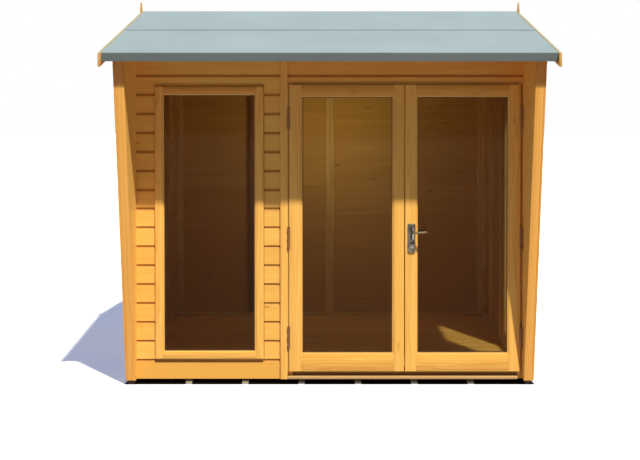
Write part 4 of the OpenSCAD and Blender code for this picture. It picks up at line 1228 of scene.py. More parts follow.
@dataclass
class GlazedFrame:
    """A frame of stiles and rails round one pane, with beads and a dark line of glazing tape."""

    name: str
    node: str
    body: Body
    axis: Run
    outward: int
    near: float
    far: float
    top_rail: float
    bottom_rail: float
    seed: int
    lip: float = 0.0
    drop: float = 0.0
    ease: float = 1.6 * MM
    rail_gap: float = 0.2 * MM
    # How much painted shade the top rail gets.
    top_rail_shade: float = 0.25
    # Beads: how wide they show (side, foot, top) from outside and inside, and where they stand.
    outer_bead: tuple[float, float, float] = (9 * MM, 6.5 * MM, 10 * MM)
    inner_bead: tuple[float, float, float] = (13 * MM, 7 * MM, 7 * MM)
    outer_step: float = 5 * MM
    inner_step: float = 1.5 * MM
    glass_t: float = 4 * MM
    glass_gap: float = 0.3 * MM
    tape_reach: float = 13.8 * MM
    tape_tuck: float = 0.6 * MM
    tape_t: float = 0.25 * MM

    def build(self) -> None:
        """Builds the members, the beads on both faces and the tape round the glass."""
        low, high = (corner.copy() for corner in cad(self.node))
        along, through = self.axis.value, 1 - self.axis.value
        high[along] += self.lip
        low[2] -= self.drop
        width, height, depth = high[along] - low[along], high[2] - low[2], high[through] - low[through]
        stack = Stack(self.name, seed=self.seed)

        def place(s: np.ndarray, u: np.ndarray, v: np.ndarray) -> np.ndarray:
            """Point at s along the wall, u up and v in from the outer face."""
            found = np.zeros((*s.shape, 3))
            found[..., along] = low[along] + s
            found[..., 2] = low[2] + u
            outer = low[through] if self.outward < 0 else high[through]
            found[..., through] = outer - self.outward * v
            return found

        mirrored = bool(np.linalg.det(place(*np.eye(3)) - place(*np.zeros((3, 3)))) < 0)
        for s1, s2 in ((0, self.near), (width - self.far, width)):
            outline, stations = eased(planed(s2 - s1, depth, self.ease), 0, height, self.ease)
            stack.carry(outline, stations, lambda s, u, v, s1=s1: place(s1 + u, s, v), flip=not mirrored,
                        tone=stack.fresh_tone(-0.3, 0.15))
        # Rails are a little darker than the stiles; the top rail also gets painted shade of the eaves.
        ends = np.array([self.near + self.rail_gap, width - self.far - self.rail_gap])
        for u1, u2, tone, stain in ((0, self.bottom_rail, 1.2, 0.0),
                                    (height - self.top_rail, height, 1.8, self.top_rail_shade)):
            section = planed(u2 - u1, depth, self.ease)
            stack.carry(section, ends, lambda s, u, v, u1=u1: place(s, u1 + u, v), flip=mirrored,
                        tone=stack.fresh_tone(tone, 0.15), darkened=stain)
        sight = np.array([[self.near, self.bottom_rail], [width - self.far, height - self.top_rail]])
        self.beads(stack, place, mirrored, sight, depth)
        self.tape(stack, place, mirrored, sight, (depth - self.glass_t) / 2)
        stack.build([JOINERY, TAPE], Slot.JOINERY, [self.node], self.body)

    def beads(self, stack: Stack, place: Place, mirrored: bool, sight: np.ndarray, depth: float) -> None:
        """Beads with mitred corners: (first + (last - first) * s), whose ends run in along the mitres.

        Args:
            stack: the frame's stack.
            place: turns (along, up, in) into points.
            mirrored: true where place is a mirror image.
            sight: lowest and highest corner of the opening in the frame.
            depth: thickness of the frame.
        """
        (s1, u1), (s2, u2) = sight
        corners = np.array([[s1, u1], [s2, u1], [s2, u2], [s1, u2]])
        near_glass = (depth - self.glass_t) / 2 - self.glass_gap
        for face, glass, way, (side, foot, top) in (
            (self.outer_step, near_glass, -1, self.outer_bead),
            (depth - self.inner_step, depth - near_glass, 1, self.inner_bead),
        ):
            section = bead(1.0, abs(glass - face))
            inward = np.array([[side, foot], [-side, foot], [-side, -top], [side, -top]])
            # The bead's outer edge gets painted shade along its joint with the frame.
            joint = np.zeros(len(section))
            joint[-1] = 1.0
            for k in range(4):
                starts, ends = (corners[k], inward[k]), (corners[(k + 1) % 4], inward[(k + 1) % 4])

                def mitred(s: np.ndarray, u: np.ndarray, v: np.ndarray) -> np.ndarray:
                    """Point of a bead: both its ends run in along the corner's mitre."""
                    first, last = (corner + u[..., None] * turn for corner, turn in (starts, ends))
                    spot = first + (last - first) * s[..., None]
                    return place(spot[..., 0], spot[..., 1], glass + way * v)

                stack.carry(section, np.array([0.0, 1.0]), mitred, flip=mirrored == (way > 0),
                            tone=stack.fresh_tone(-0.5, 0.2), darkened=joint)

    def tape(self, stack: Stack, place: Place, mirrored: bool, sight: np.ndarray, pane: float) -> None:
        """Four strips of tape on the glass, from under the beads to where the pane shows.

        Args:
            stack: the frame's stack.
            place: turns (along, up, in) into points.
            mirrored: true where place is a mirror image.
            sight: lowest and highest corner of the opening in the frame.
            pane: place of the glass's outer face.
        """
        (s1, u1), (s2, u2) = sight
        side, foot, top = (reach - self.tape_tuck for reach in self.outer_bead)
        far = self.tape_reach
        skin = pane - self.tape_t - 0.03 * MM
        # The tape's near-black finish is partly painted shade at the panes' edges.
        stack.material_index = 1
        for x1, z1, x2, z2 in ((s1 + side, u1 + foot, s2 - side, u1 + far),
                               (s1 + side, u2 - far, s2 - side, u2 - top),
                               (s1 + side, u1 + far, s1 + far, u2 - far),
                               (s2 - far, u1 + far, s2 - side, u2 - far)):
            stack.carry(planed(x2 - x1, self.tape_t, 0.05 * MM, 1), np.array([z1, z2]),
                        lambda s, u, v, x1=x1: place(x1 + u, s, skin + v), flip=not mirrored, tone=0.0)


@dataclass
class Joinery:
    """The three windows and the two doors."""

    casing_side: float = 45 * MM
    casing_rail: float = 40 * MM
    stile: float = 66 * MM
    meeting_cut: float = 10 * MM
    top_rail: float = 63 * MM
    bottom_rail: float = 103 * MM
    closing_lip: float = 5 * MM
    drop: float = 2.5 * MM
    slip_w: float = 5 * MM
    slip_clear: float = 2 * MM
    hinge_h: float = 130 * MM
    hinge_mid: float = 798 * MM

    def build(self) -> None:
        """Builds every glazed frame and dresses the panes."""
        for name, node, axis, outward, seed in (
            ("front_window_frame", "window_casing", Run.X, -1, 61),
            ("left_window_frame", "left_window_casing", Run.Y, -1, 62),
            ("right_window_frame", "right_window_casing", Run.Y, 1, 63),
        ):
            GlazedFrame(name, node, Body.HOUSE, axis, outward, self.casing_side, self.casing_side,
                        self.casing_rail, self.casing_rail, seed).build()
        for name, node, body, cut, lip, seed in (
            ("left_door_frame", "left_door", Body.LEFT_DOOR, self.meeting_cut, self.closing_lip, 64),
            ("right_door_frame", "right_door", Body.RIGHT_DOOR, 0.0, 0.0, 65),
        ):
            GlazedFrame(name, node, body, Run.X, -1, self.stile, self.stile - cut + lip, self.top_rail,
                        self.bottom_rail + self.drop, seed, lip=lip, drop=self.drop).build()
        self.slips()
        for node in ("left_window_glass", "right_window_glass", "left_door_glass"):
            dress(node, GLASS)
        for node in ("window_glass", "right_door_glass"):
            dress(node, GREY_GLASS)

    def slips(self) -> None:
        """Slips that narrow the gap between the left door and its post, from hinge to hinge."""
        hinge_low, hinge_high = cad("frame_hinges")
        leaf_low, leaf_high = cad("left_door")
        strip_low, strip_high = cad("cover_strip")
        middle = leaf_low[2] + self.hinge_mid
        hinges = ((hinge_low[2], hinge_low[2] + self.hinge_h),
                  (middle - self.hinge_h / 2, middle + self.hinge_h / 2),
                  (hinge_high[2] - self.hinge_h, hinge_high[2]))
        feet = [leaf_low[2] - self.drop, *[top + self.slip_clear for _, top in hinges]]
        tops = [*[foot - self.slip_clear for foot, _ in hinges], leaf_high[2]]
        for name, seed, x, y1, y2, body, slot in (
            ("left_door_hinge_slips", 66, leaf_low[0] - self.slip_w, leaf_low[1], leaf_high[1],
             Body.LEFT_DOOR, Slot.JOINERY),
            ("hinge_slips_on_the_cover_strip", 67, strip_high[0], strip_low[1], strip_high[1],
             Body.HOUSE, Slot.CLADDING),
        ):
            stack = Stack(name, seed=seed)
            for foot, top in zip(feet, tops):
                stack.board((x, y1, foot), (x + self.slip_w, y2, top), Run.Z, arris=1 * MM, tone=-0.3)
            stack.build([JOINERY], slot, body=body)


def dress(node: str, finish: Finish) -> None:
    """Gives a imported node's own mesh a finish.

    Args:
        node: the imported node.
        finish: its finish.
    """
    materials = frame["nodes"][node].data.materials
    materials.clear()
    materials.append(finish.material())
    log.info("%s: the packed solid in %s", node, finish.name)


# ---------- roof ----------


@dataclass
class Roof:
    """Roof timbers, boards, felt, fascias, bargeboards and finials."""

    board_w: float = 100 * MM
    board_gap: float = 0.6 * MM
    ridge_h: float = 88 * MM
    purlin_h: float = 44 * MM
    barge_w: float = 75 * MM
    barge_rise: float = 3 * MM
    fascia_t: float = 14 * MM
    ease: float = 1.6 * MM
    wave: float = 0.5 * MM
    # Turns of the three waves along the house, and of the first one down the slope, in radians a metre.
    wave_rates: tuple[float, float, float] = (9.0, 4.1, 23.0)
    wave_drift: float = 3.0
    fold: float = 4 * MM
    lap_edge: float = 13 * MM
    lap_fade: float = 24 * MM

    def build(self) -> None:
        """Builds the roof from its timbers outwards."""
        self.timbers()
        self.boards()
        self.felt()
        self.fascias()
        self.bargeboards()
        self.finials()

    def timbers(self) -> None:
        """Ridge beam, purlins and the rails under the edges."""
        half = cad("back_wall_framing")[1][0]
        stack = Stack("ridge_beam_purlins_and_rails", seed=71)
        ridge, rear = ROOF.ridge_y, cad("back_wall")[1][1]
        stack.board((-half, ridge - STUD / 2, ROOF.ridge_z - UNDER_DECK - self.ridge_h),
                    (half, ridge + STUD / 2, ROOF.ridge_z), Run.X, shape=ROOF.cut(UNDER_DECK),
                    ease_ends=False)
        for y in (FACE + (ridge - FACE) / 3, FACE + 2 * (ridge - FACE) / 3, (ridge + rear) / 2):
            self.across(stack, y, self.purlin_h, half, ROOF.front if y < ridge else ROOF.back)
        front = ROOF.felt_front + FELT_T + self.fascia_t
        self.across(stack, front, STUD, POSTS_END - BUTT, ROOF.front)
        for side in (-1, 1):
            x1, x2 = sorted((side * cad("roof_framing")[1][0], side * (cad("right_wall")[1][0] + BUTT)))
            for y1, y2, plane in ((front, ridge - BUTT, ROOF.front),
                                  (ridge, ROOF.felt_back - FELT_T - self.fascia_t, ROOF.back)):
                stack.carry(planed(x2 - x1, STUD), np.array([y1, y2]), on_slope(x1, plane, UNDER_DECK),
                            flip=True)
        stack.build([SAWN], Slot.FRAMING, ["roof_framing"])

    @staticmethod
    def across(stack: Stack, y: float, depth: float, half: float, plane: Callable) -> None:
        """A timber that runs from side to side under the roof boards: (s, y + u, plane's height - v).

        Args:
            stack: the stack it goes into.
            y: place of its front face.
            depth: size below the boards.
            half: half of its length.
            plane: the roof plane that it lies under.
        """
        stack.carry(planed(STUD, depth), np.array([-half, half]),
                    lambda s, u, v: np.stack([s, y + u, plane(y + u, UNDER_DECK + v)], -1), flip=True)

    def boards(self) -> None:
        """Roof boards that run from the eaves to the ridge."""
        for node, name, plane, y1, y2, seed in (
            ("front_roof_boards", "front_slope_boards", ROOF.front, ROOF.felt_front + FELT_T,
             ROOF.ridge_y - BUTT, 72),
            ("back_roof_boards", "back_slope_boards", ROOF.back, ROOF.ridge_y, ROOF.felt_back - FELT_T, 73),
        ):
            low, high = cad(node)
            stack = Stack(name, seed=seed)
            edges = np.linspace(low[0], high[0], round((high[0] - low[0]) / self.board_w) + 1)
            for x1, x2 in zip(edges[:-1], edges[1:]):
                stack.carry(planed(x2 - x1 - self.board_gap, DECK_T, 1 * MM), np.array([y1, y2]),
                            on_slope(x1 + self.board_gap / 2, plane, FELT_T + SEAT), flip=True)
            stack.build([ROOF_BOARD], Slot.ROOF_BOARDS, [node])

    def sheet(self, name: str, node: str, route: np.ndarray, felt_dark: np.ndarray, seed: int) -> None:
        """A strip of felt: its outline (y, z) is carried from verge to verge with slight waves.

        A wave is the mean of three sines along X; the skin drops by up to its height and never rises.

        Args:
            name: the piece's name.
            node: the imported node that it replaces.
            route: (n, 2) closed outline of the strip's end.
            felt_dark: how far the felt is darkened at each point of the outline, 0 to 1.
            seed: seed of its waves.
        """
        low, high = cad(node)
        stack = Stack(name, seed=seed)
        phase = stack.dice.uniform(0, 6.28, 3)
        first, second, third = self.wave_rates

        def place(s: np.ndarray, u: np.ndarray, v: np.ndarray) -> np.ndarray:
            """The strip's skin, lowered by the wave."""
            waves = (np.sin(s * first + phase[0] + u * self.wave_drift) + np.sin(s * second + phase[1])
                     + np.sin(s * third + phase[2]))
            return np.stack([s, u, v - self.wave * 0.5 * (1 + waves / 3)], -1)

        stack.carry(route[::-1], np.linspace(low[0], high[0], 90), place, darkened=felt_dark[::-1])
        stack.build([FELT], Slot.FELT, [node])

    def nose(self, edge: float, way: int, plane: Edge, slope: float) -> np.ndarray:
        """The rounded fold over an eave: a quarter circle whose top leans along the slope.

        Args:
            edge: place of the fold's outer face along Y.
            way: 1 where the roof lies behind the edge, -1 where it lies before it.
            plane: height of the felt's plane.
            slope: rise of the slope for each metre away from the edge.

        Returns:
            Points (y, z) from the drop up to the slope.
        """
        a = np.linspace(0, np.pi / 2, 5)
        y = edge + way * self.fold * (1 - np.cos(a))
        z = ROOF.eave_z - self.fold * (1 - np.sin(a)) + slope * self.fold * np.sin(a)
        return np.stack([y, np.minimum(z, plane(y))], 1)

    def felt(self) -> None:
        """The lower, upper and back strips of felt, with rounded folds over the eaves and the ridge."""
        f, b, t, foot = ROOF.felt_front, ROOF.felt_back, FELT_T, cad("back_felt")[0][2]
        ridge, top_z = ROOF.ridge_y, ROOF.ridge_z
        (_, lap, _), (_, over, _) = cad("front_upper_felt")
        lap_end = cad("front_lower_felt")[1][1]

        nose = self.nose(f, 1, ROOF.front, ROOF.front_slope)
        slope = np.linspace(f + 2 * self.fold, lap_end, 14)
        outline = [[f, foot], *nose, *np.stack([slope, ROOF.front(slope)], 1),
                   [lap_end, ROOF.front(lap_end, t)], [f + t, ROOF.front(f + t, t)], [f + t, foot]]
        felt_dark = np.concatenate([np.ones(len(nose)), np.zeros(1 + len(slope)), np.ones(3)])
        self.sheet("lower_felt_strip", "front_lower_felt", np.array(outline), felt_dark, 74)

        # The upper strip lies on the lower one and comes down onto the boards behind its edge.
        up = np.concatenate([[lap, lap + self.lap_edge, lap + self.lap_edge + 2 * MM],
                             np.linspace(lap + 2 * self.lap_edge, ridge - 20 * MM, 12)])
        share = np.clip((lap_end + self.lap_fade - up) / self.lap_fade, 0, 1)
        step, landing = lap_end + 1 * MM, lap_end + self.lap_fade + 2 * MM
        outline = [*np.stack([up, ROOF.front(up, -t * np.where(up <= lap_end, 1, share))], 1),
                   [ridge - 8 * MM, top_z + 0.2 * MM], [ridge, top_z + 1.6 * MM],
                   [ridge + 8 * MM, top_z + 0.6 * MM], [over, ROOF.back(over, -t)],
                   [over, ROOF.back(over, -SEAT)], [ridge, top_z - 1 * MM],
                   [landing, ROOF.front(landing, t)], [step, ROOF.front(step, -SEAT)],
                   [lap, ROOF.front(lap, -SEAT)]]
        # The upper strip's edge at the lap gets painted shadow.
        felt_dark = np.zeros(len(outline))
        felt_dark[[0, 1, -1]] = 0.5
        self.sheet("upper_felt_strip", "front_upper_felt", np.array(outline), felt_dark, 75)

        tail = self.nose(b, -1, ROOF.back, ROOF.back_slope)[::-1]
        start = ridge + BUTT
        slope = np.linspace(start, b - 2 * self.fold, 14)
        outline = [*np.stack([slope, ROOF.back(slope)], 1), *tail, [b, foot],
                   [b - t, foot], [b - t, ROOF.back(b - t, t)], [start, ROOF.back(start, t)]]
        felt_dark = np.concatenate([np.zeros(len(slope) + 1), np.ones(len(tail)), np.ones(3)])
        self.sheet("back_felt_strip", "back_felt", np.array(outline), felt_dark, 76)

    def fascias(self) -> None:
        """Boards behind the folded felt at both eaves."""
        low, high = cad("fascias")
        stack = Stack("eave_fascia_boards", seed=77)
        for y in (low[1], high[1] - self.fascia_t):
            stack.board((low[0], y, low[2]), (high[0], y + self.fascia_t, ROOF.ridge_z), Run.X,
                        shape=ROOF.cut(UNDER_DECK), ease_ends=False)
        stack.build([CLADDING], Slot.CLADDING, ["fascias"])

    def bargeboards(self) -> None:
        """Bargeboards with eased edges, mitred at the ridge; their upper edges are grey."""
        for name, seed in (("left", 78), ("right", 79)):
            node = f"{name}_bargeboards"
            low, high = cad(node)
            stack = Stack(f"{name}_verge_boards", seed=seed, material_index=2)
            section = planed(high[0] - low[0], self.barge_w, 2 * MM)
            grey_top = np.zeros(len(section), int)
            grey_top[1:5] = 1
            for y1, y2, plane in ((low[1], ROOF.ridge_y - BUTT, ROOF.front),
                                  (ROOF.ridge_y, high[1], ROOF.back)):
                outline, stations = eased(section, y1, y2, self.ease)
                stack.carry(outline, stations, on_slope(low[0], plane, -self.barge_rise), flip=True,
                            tone=stack.fresh_tone(0.9, 0.2), side_finish=grey_top)
            stack.build([JOINERY, GREY_TOP_EDGE, END_GRAIN], Slot.CLADDING, [node])

    def finials(self) -> None:
        """The pointed boards over the mitres, with end grain round their edges."""
        low, high = cad("finials")
        stack = Stack("pointed_finials", seed=80)
        half, shoulder = (high[1] - low[1]) / 2, ROOF.ridge_z
        hip = low[2] + half
        outline = np.array([[0, high[2]], [-half, shoulder], [-half, hip], [0, low[2]], [half, hip],
                            [half, shoulder]])
        thick = high[0] - cad("right_bargeboards")[1][0]
        rings, stations = eased(outline, 0, thick, 2 * MM)
        for x in (low[0], high[0] - thick):
            stack.carry(rings, stations, lambda s, u, v, x=x: np.stack([x + s, ROOF.ridge_y + u, v], -1),
                        tone=0.9, side_finish=1)
        stack.build([JOINERY, END_GRAIN], Slot.CLADDING, ["finials"])


# ---------- door furniture ----------


@dataclass
class Furniture:
    """Hinges, handle plates, the key cylinder and the lever handles."""

    plate_t: float = 9 * MM
    plate_h: float = 172 * MM
    plate_rise: float = 38 * MM
    screw_reach: float = 73 * MM
    screw_r: float = 4 * MM
    key_drop: float = 58 * MM
    key_r: float = 9 * MM
    key_proud: float = 2 * MM
    lever_r: float = 13 * MM
    # Where along its way the lever's neck ends, and where in the neck its bend starts.
    neck: float = 0.42
    bend: float = 0.625
    # Painted shadow of the lever and painted highlights on a plate: (side, foot, width, height) in mm, and
    # the finish.
    painted_marks: tuple[tuple[float, float, float, float, int], ...] = (
        (-8, -50, 10, 76, 1),
        (3, -46, 10, 64, 2),
        (-8, -74, 22, 23, 1),
        (-8, -99, 20, 23, 2),
    )
    # Half width and half height of the lever's section, in mm, at shares of its way.
    grip: tuple[tuple[float, float, float], ...] = (
        (0.0, 9, 9), (0.2, 8, 8), (0.42, 7, 7), (0.75, 6.4, 7.6), (0.96, 5, 6), (1.0, 2.5, 3))

    def build(self) -> None:
        """Dresses the hinges and builds the plates and the levers."""
        for node in ("frame_hinges", "left_door_hinges", "right_door_hinges"):
            dress(node, HINGE_STEEL)
        joint = next(j for j in frame["joints"] if j["name"] == "lever_turn")
        axis = np.array(joint["pos_m"])
        self.plates(axis)
        self.levers(axis)

    def plates(self, axis: np.ndarray) -> None:
        """A domed plate on each face: a rounded rectangle whose rings draw in as they rise.

        Args:
            axis: the lever's axis at the door's outer face.
        """
        low, high = cad("handle_plates")
        front, back = (corner[1] for corner in cad("right_door"))
        x, width = axis[0], high[0] - low[0]
        stack = Stack("handle_plates_and_cylinder", seed=91)
        base = planed(width, self.plate_h, width / 6, 6) - [width / 2, self.plate_h / 2]
        middle = axis[2] - self.plate_rise
        rise = np.array([0.0, 0.55, 0.8, 0.94, 1.0])
        inset = np.array([0.0, 0.0, 0.8, 2.2, 5.0]) * MM
        rings = np.stack([base * (1 - 2 * d / np.array([width, self.plate_h])) for d in inset])
        for face, way in ((front, -1), (back, 1)):
            stack.carry(rings, rise * self.plate_t, facing(x, face, middle, way), flip=way > 0, tone=0.0)
        for face, way in ((front, -1), (back, 1)):
            skin = face + way * self.plate_t
            # Dark marks are painted shadow of the lever; pale ones are painted highlights.
            for side, foot, wide, tall, index in self.painted_marks:
                stack.material_index = index
                pad = planed(wide * MM, tall * MM, 2 * MM, 3) + np.array([side, foot]) * MM
                stack.carry(np.stack([pad, shrunk(pad, 0.4 * MM)]), np.array([-0.5, 0.6]) * MM,
                            facing(x, skin, axis[2], way), flip=way > 0, tone=0.0)
            stack.material_index = 0
            for z in (middle + self.screw_reach, middle - self.screw_reach):
                stack.dome((x, skin, z), (0, way, 0), self.screw_r, 1.2 * MM)
        key_z = axis[2] - self.key_drop
        ends = np.array([front - self.plate_t - self.key_proud, back + self.plate_t + self.key_proud])
        disc = circle(24, self.key_r)
        stack.carry(np.stack([disc * 0.9, disc, disc, disc * 0.9]),
                    np.array([ends[0], ends[0] + 0.8 * MM, ends[1] - 0.8 * MM, ends[1]]),
                    facing(x, 0.0, key_z, 1), flip=True, tone=0.0)
        stack.material_index = 1
        for y in (ends[0] - 0.15 * MM, ends[1] - 0.35 * MM):
            stack.board((x - 1 * MM, y, key_z - 5 * MM), (x + 1 * MM, y + 0.5 * MM, key_z + 5 * MM), Run.Z,
                        arris=0.1 * MM)
        stack.build([PEWTER, KEYWAY_AND_PAINTED_SHADE, PAINTED_HIGHLIGHT], Slot.HANDLE, ["handle_plates"], Body.RIGHT_DOOR)

    def levers(self, axis: np.ndarray) -> None:
        """Two levers on one spindle: a round section that thins and flattens along a bent centre line.

        The neck stands out from the door, turns through a quarter circle (radius * (1 - cos), radius *
        sin) and runs on sideways with a slight sag, a half sine.

        Args:
            axis: the lever's axis at the door's outer face.
        """
        low, high = cad("door_lever")
        front, back = (corner[1] for corner in cad("right_door"))
        stack = Stack("lever_handles", seed=92)
        t = np.linspace(0, 1, 26)
        rise = np.clip(t / self.neck, 0, 1)
        run = np.clip((t - self.neck) / (1 - self.neck), 0, 1)
        turn = np.clip((rise - self.bend) / (1 - self.bend), 0, 1) * np.pi / 2
        shares, wide, tall = np.array(self.grip).T
        half = np.stack([np.interp(t, shares, wide), np.interp(t, shares, tall)], 1) * MM
        rings = circle(20, 1.0)[None] * half[:, None]
        side = np.where(rise < self.bend, 0, self.lever_r * (1 - np.cos(turn)))
        side = side + run * (high[0] - axis[0] - self.lever_r - 5 * MM)
        sag = -2.5 * MM * np.sin(run * np.pi) + 1.5 * MM * run
        for face, way, far in ((front, -1, low[1]), (back, 1, high[1])):
            stand = abs(far - face) - 9 * MM
            neck = (stand - self.lever_r) * np.minimum(rise * 1.6, 1) + self.lever_r * np.sin(turn)
            out = np.where(t < self.neck, neck, stand)
            centre = np.stack([axis[0] + side, face + way * out, axis[2] + sag], 1)
            heading = np.gradient(centre, axis=0)
            heading /= np.linalg.norm(heading, axis=1)[:, None]
            across = np.cross(heading, [0.0, 0.0, 1.0])
            across /= np.linalg.norm(across, axis=1)[:, None]
            upward = np.cross(across, heading)

            def place(s: np.ndarray, u: np.ndarray, v: np.ndarray) -> np.ndarray:
                """Point of a lever: ring s about the bent centre line."""
                k = np.rint(s).astype(int)
                return centre[k] + u[..., None] * across[k] + v[..., None] * upward[k]

            # The inner lever takes the near-black finish: painted shade of the room.
            stack.material_index = 0 if way < 0 else 1
            stack.carry(rings, np.arange(26.0), place, tone=0.0)
        stack.carry(circle(20, 4 * MM), np.array([front - 2 * MM, back + 2 * MM]),
                    facing(axis[0], 0.0, axis[2], 1), flip=True, tone=0.0)
        stack.build([LEVER_METAL, KEYWAY_AND_PAINTED_SHADE], Slot.HANDLE, ["door_lever"], Body.LEVER)


def facing(x: float, y: float, z: float, way: int) -> Place:
    """A place on a door's face: u sideways and v up from (x, z), and s out from y on the side of way."""
    return lambda s, u, v: np.stack([x + u, y + way * s, z + v], -1)


# ---------- floor, light and camera ----------


@dataclass
class Studio:
    """A pale floor, a plain sky, one soft sun and the camera."""

    sun_strength: float = 5.9
    sun_angle_deg: float = 1.6
    sun_from: tuple[float, float, float] = (0.247, -0.498, 1.0)
    sky_strength: float = 0.14
    room_watts: float = 1.8
    room_ahead: float = 0.82
    room_z: float = 1.42
    side_strength: float = 0.80
    side_angle_deg: float = 60.0
    side_tilt_deg: float = 65.0
    floor_half: float = 60.0
    # How far the painted shade under the house reaches ahead of the front, its soft edge, and its strength at
    # the bearers.
    painted_shade_reach: float = 14 * MM
    painted_shade_edge: tuple[float, float] = (4 * MM, 22 * MM)
    painted_shade_at_bearer: float = 0.8
    bounce: float = 0.20
    shadow_fill: tuple[float, float, float] = (0.124, 0.18, 0.342)
    lens: float = 57.594
    sensor: float = 36.0
    eye: tuple[float, float, float] = (0.0, -6.8558, 1.6525)
    pitch_deg: float = 1.0
    shift: tuple[float, float] = (-0.0153, -0.1617)

    def build(self) -> None:
        """Sets the stage."""
        self.floor()
        self.sky()
        self.sun()
        self.side_light()
        self.room_light()
        self.camera()
        bpy.context.scene.view_settings.view_transform = "Standard"

    @staticmethod
    def add(name: str, data: bpy.types.ID) -> bpy.types.Object:
        """Adds an object with its data to the scene."""
        thing = bpy.data.objects.new(name, data)
        bpy.context.scene.collection.objects.link(thing)
        return thing

    def floor(self) -> None:
        """A wide plane that shows pale and sends little light back up."""
        mesh = bpy.data.meshes.new("studio_floor")
        h = self.floor_half
        mesh.from_pydata([(-h, -h, 0), (h, -h, 0), (h, h, 0), (-h, h, 0)], [], [(0, 1, 2, 3)])
        mesh.materials.append(new_material("pale_matt_studio_floor", self.ground))
        self.add("studio_floor", mesh)

    def ground(self, tree: bpy.types.NodeTree) -> bpy.types.Node:
        """Pale ground with painted shade under the house and just ahead of it; only rays of sight see it so
        bright.

        Args:
            tree: the material's node tree.

        Returns:
            The shader.
        """
        where = add_node(tree, "SeparateXYZ", Vector=add_node(tree, "TexCoord").outputs["Object"])
        low, high = cad("front_cladding")[0] - [0, self.painted_shade_reach, 0], cad("right_wall")[1]
        across = add_node(tree, "Math", {"operation": "ABSOLUTE"}, i0=where.outputs["X"])
        beside = add_node(tree, "Math", {"operation": "SUBTRACT"}, i0=across, i1=high[0])
        ahead = add_node(tree, "Math", {"operation": "SUBTRACT"}, i0=where.outputs["Y"],
                         i1=(low[1] + high[1]) / 2)
        ahead = add_node(tree, "Math", {"operation": "ABSOLUTE"}, i0=ahead)
        ahead = add_node(tree, "Math", {"operation": "SUBTRACT"}, i0=ahead, i1=(high[1] - low[1]) / 2)
        outside = add_node(tree, "Math", {"operation": "MAXIMUM"}, i0=beside, i1=ahead)
        under = add_node(tree, "MapRange", Value=outside, From_Min=self.painted_shade_edge[0],
                         From_Max=self.painted_shade_edge[1], To_Min=1.0, To_Max=0.0)
        # The painted shade is weaker in front of each inner bearer, where the sun reaches the ground.
        first, last = (side[0] for side in cad("floor_bearers"))
        pitch = (last - first - BEARER_W) / (BEARERS - 1)
        offset = add_node(tree, "Math", {"operation": "SUBTRACT"}, i0=where.outputs["X"],
                          i1=first + BEARER_W / 2)
        offset = add_node(tree, "Math", {"operation": "PINGPONG"}, i0=offset, i1=pitch / 2)
        between = add_node(tree, "Math", {"operation": "GREATER_THAN"}, i0=offset, i1=BEARER_W / 2)
        corner = add_node(tree, "Math", {"operation": "GREATER_THAN"}, i0=across, i1=last - 2 * BEARER_W)
        shade_strength = add_node(tree, "Math", {"operation": "MAXIMUM"}, i0=between, i1=corner)
        shade_strength = add_node(tree, "Math", {"operation": "MAXIMUM"}, i0=shade_strength, i1=self.painted_shade_at_bearer)
        under = add_node(tree, "Math", {"operation": "MULTIPLY"}, i0=under, i1=shade_strength)
        path = add_node(tree, "LightPath").outputs
        seen = add_node(tree, "Math", {"operation": "MAXIMUM"}, i0=path["Is Camera Ray"],
                        i1=path["Is Glossy Ray"])
        seen = add_node(tree, "Math", {"operation": "MAXIMUM"}, i0=seen, i1=path["Is Transmission Ray"])
        # A faint blue fill keeps the house's shadow on the pale ground cool.
        fill = add_node(tree, "Emission", Color=(*self.shadow_fill, 1), Strength=1.0)
        white = add_node(tree, "BsdfDiffuse", Color=(0.95, 0.94, 0.93, 1))
        pale = add_node(tree, "AddShader", i0=white, i1=fill)
        # Near-black painted shade under the house.
        ground_shade = add_node(tree, "BsdfDiffuse", Color=(0.012, 0.008, 0.006, 1))
        shown = add_node(tree, "MixShader", i0=under, i1=pale, i2=ground_shade)
        dull = add_node(tree, "BsdfDiffuse", Color=(self.bounce, self.bounce * 0.97, self.bounce * 0.94, 1))
        return add_node(tree, "MixShader", i0=seen, i1=dull, i2=shown)

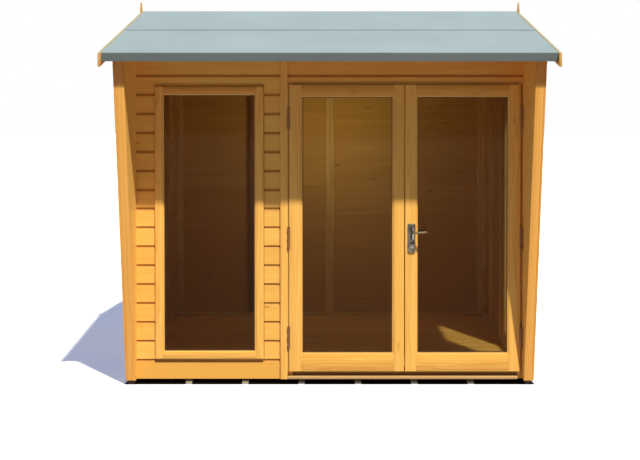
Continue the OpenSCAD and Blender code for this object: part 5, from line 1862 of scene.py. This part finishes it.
    def sky(self) -> None:
        """A cool sky for the light and plain white for what sees it."""
        world = bpy.data.worlds.new("pale_sky")
        bpy.context.scene.world = world
        world.use_nodes = True
        tree = world.node_tree
        tree.nodes.clear()
        path = add_node(tree, "LightPath").outputs
        seen = add_node(tree, "Math", {"operation": "MAXIMUM"}, i0=path["Is Camera Ray"],
                        i1=path["Is Transmission Ray"])
        light = add_node(tree, "Background", Color=(0.9, 0.95, 1.1, 1), Strength=self.sky_strength)
        white = add_node(tree, "Background", Color=(1, 1, 1, 1), Strength=1.0)
        mixed = add_node(tree, "MixShader", i0=seen, i1=light, i2=white)
        add_node(tree, "OutputWorld", Surface=mixed)

    def sun(self) -> None:
        """One sun, high in front and to the right."""
        lamp = bpy.data.lights.new("sun", "SUN")
        lamp.energy = self.sun_strength
        lamp.color = (1.0, 0.995, 0.89)
        lamp.angle = math.radians(self.sun_angle_deg)
        x, y, z = self.sun_from
        self.add("sun", lamp).rotation_euler = (
            math.acos(z / math.hypot(x, y, z)), 0, math.atan2(y, x) + math.pi / 2)

    def side_light(self) -> None:
        """A weak, very soft and cool light from the left, which opens the shade of the right-hand wing."""
        lamp = bpy.data.lights.new("side_fill", "SUN")
        lamp.energy = self.side_strength
        lamp.color = (0.9, 0.95, 1.0)
        lamp.angle = math.radians(self.side_angle_deg)
        self.add("side_fill", lamp).rotation_euler = (math.radians(self.side_tilt_deg), 0, math.radians(-90))

    def room_light(self) -> None:
        """A weak warm panel in the room: the light that the panes let in falls on the back wall."""
        lamp = bpy.data.lights.new("room_fill", "AREA")
        lamp.shape = "RECTANGLE"
        lamp.size, lamp.size_y = 0.4, 0.3
        lamp.energy = self.room_watts
        lamp.color = (1.0, 0.91, 0.68)
        panel = self.add("room_fill", lamp)
        panel.location = (0.0, cad("back_wall")[0][1] - self.room_ahead, self.room_z)
        panel.rotation_euler = (math.radians(90), 0, 0)
        panel.visible_camera = panel.visible_glossy = panel.visible_transmission = False

    def camera(self) -> None:
        """A nearly level camera in front of the house, a little above head height."""
        data = bpy.data.cameras.new("camera")
        data.lens = self.lens
        data.sensor_width = self.sensor
        data.shift_x, data.shift_y = self.shift
        camera = self.add("camera", data)
        camera.location = self.eye
        camera.rotation_euler = (math.radians(90 - self.pitch_deg), 0, 0)
        bpy.context.scene.camera = camera


def main() -> None:
    """Builds the sub-assemblies in order, then the stage."""
    logging.basicConfig(level=logging.INFO, format="%(message)s")
    for part in (Base(), Walls(), Wings(), Joinery(), Roof(), Furniture()):
        log.info("-- %s", type(part).__name__)
        part.build()
    Studio().build()


if __name__ == "__main__":
    main()
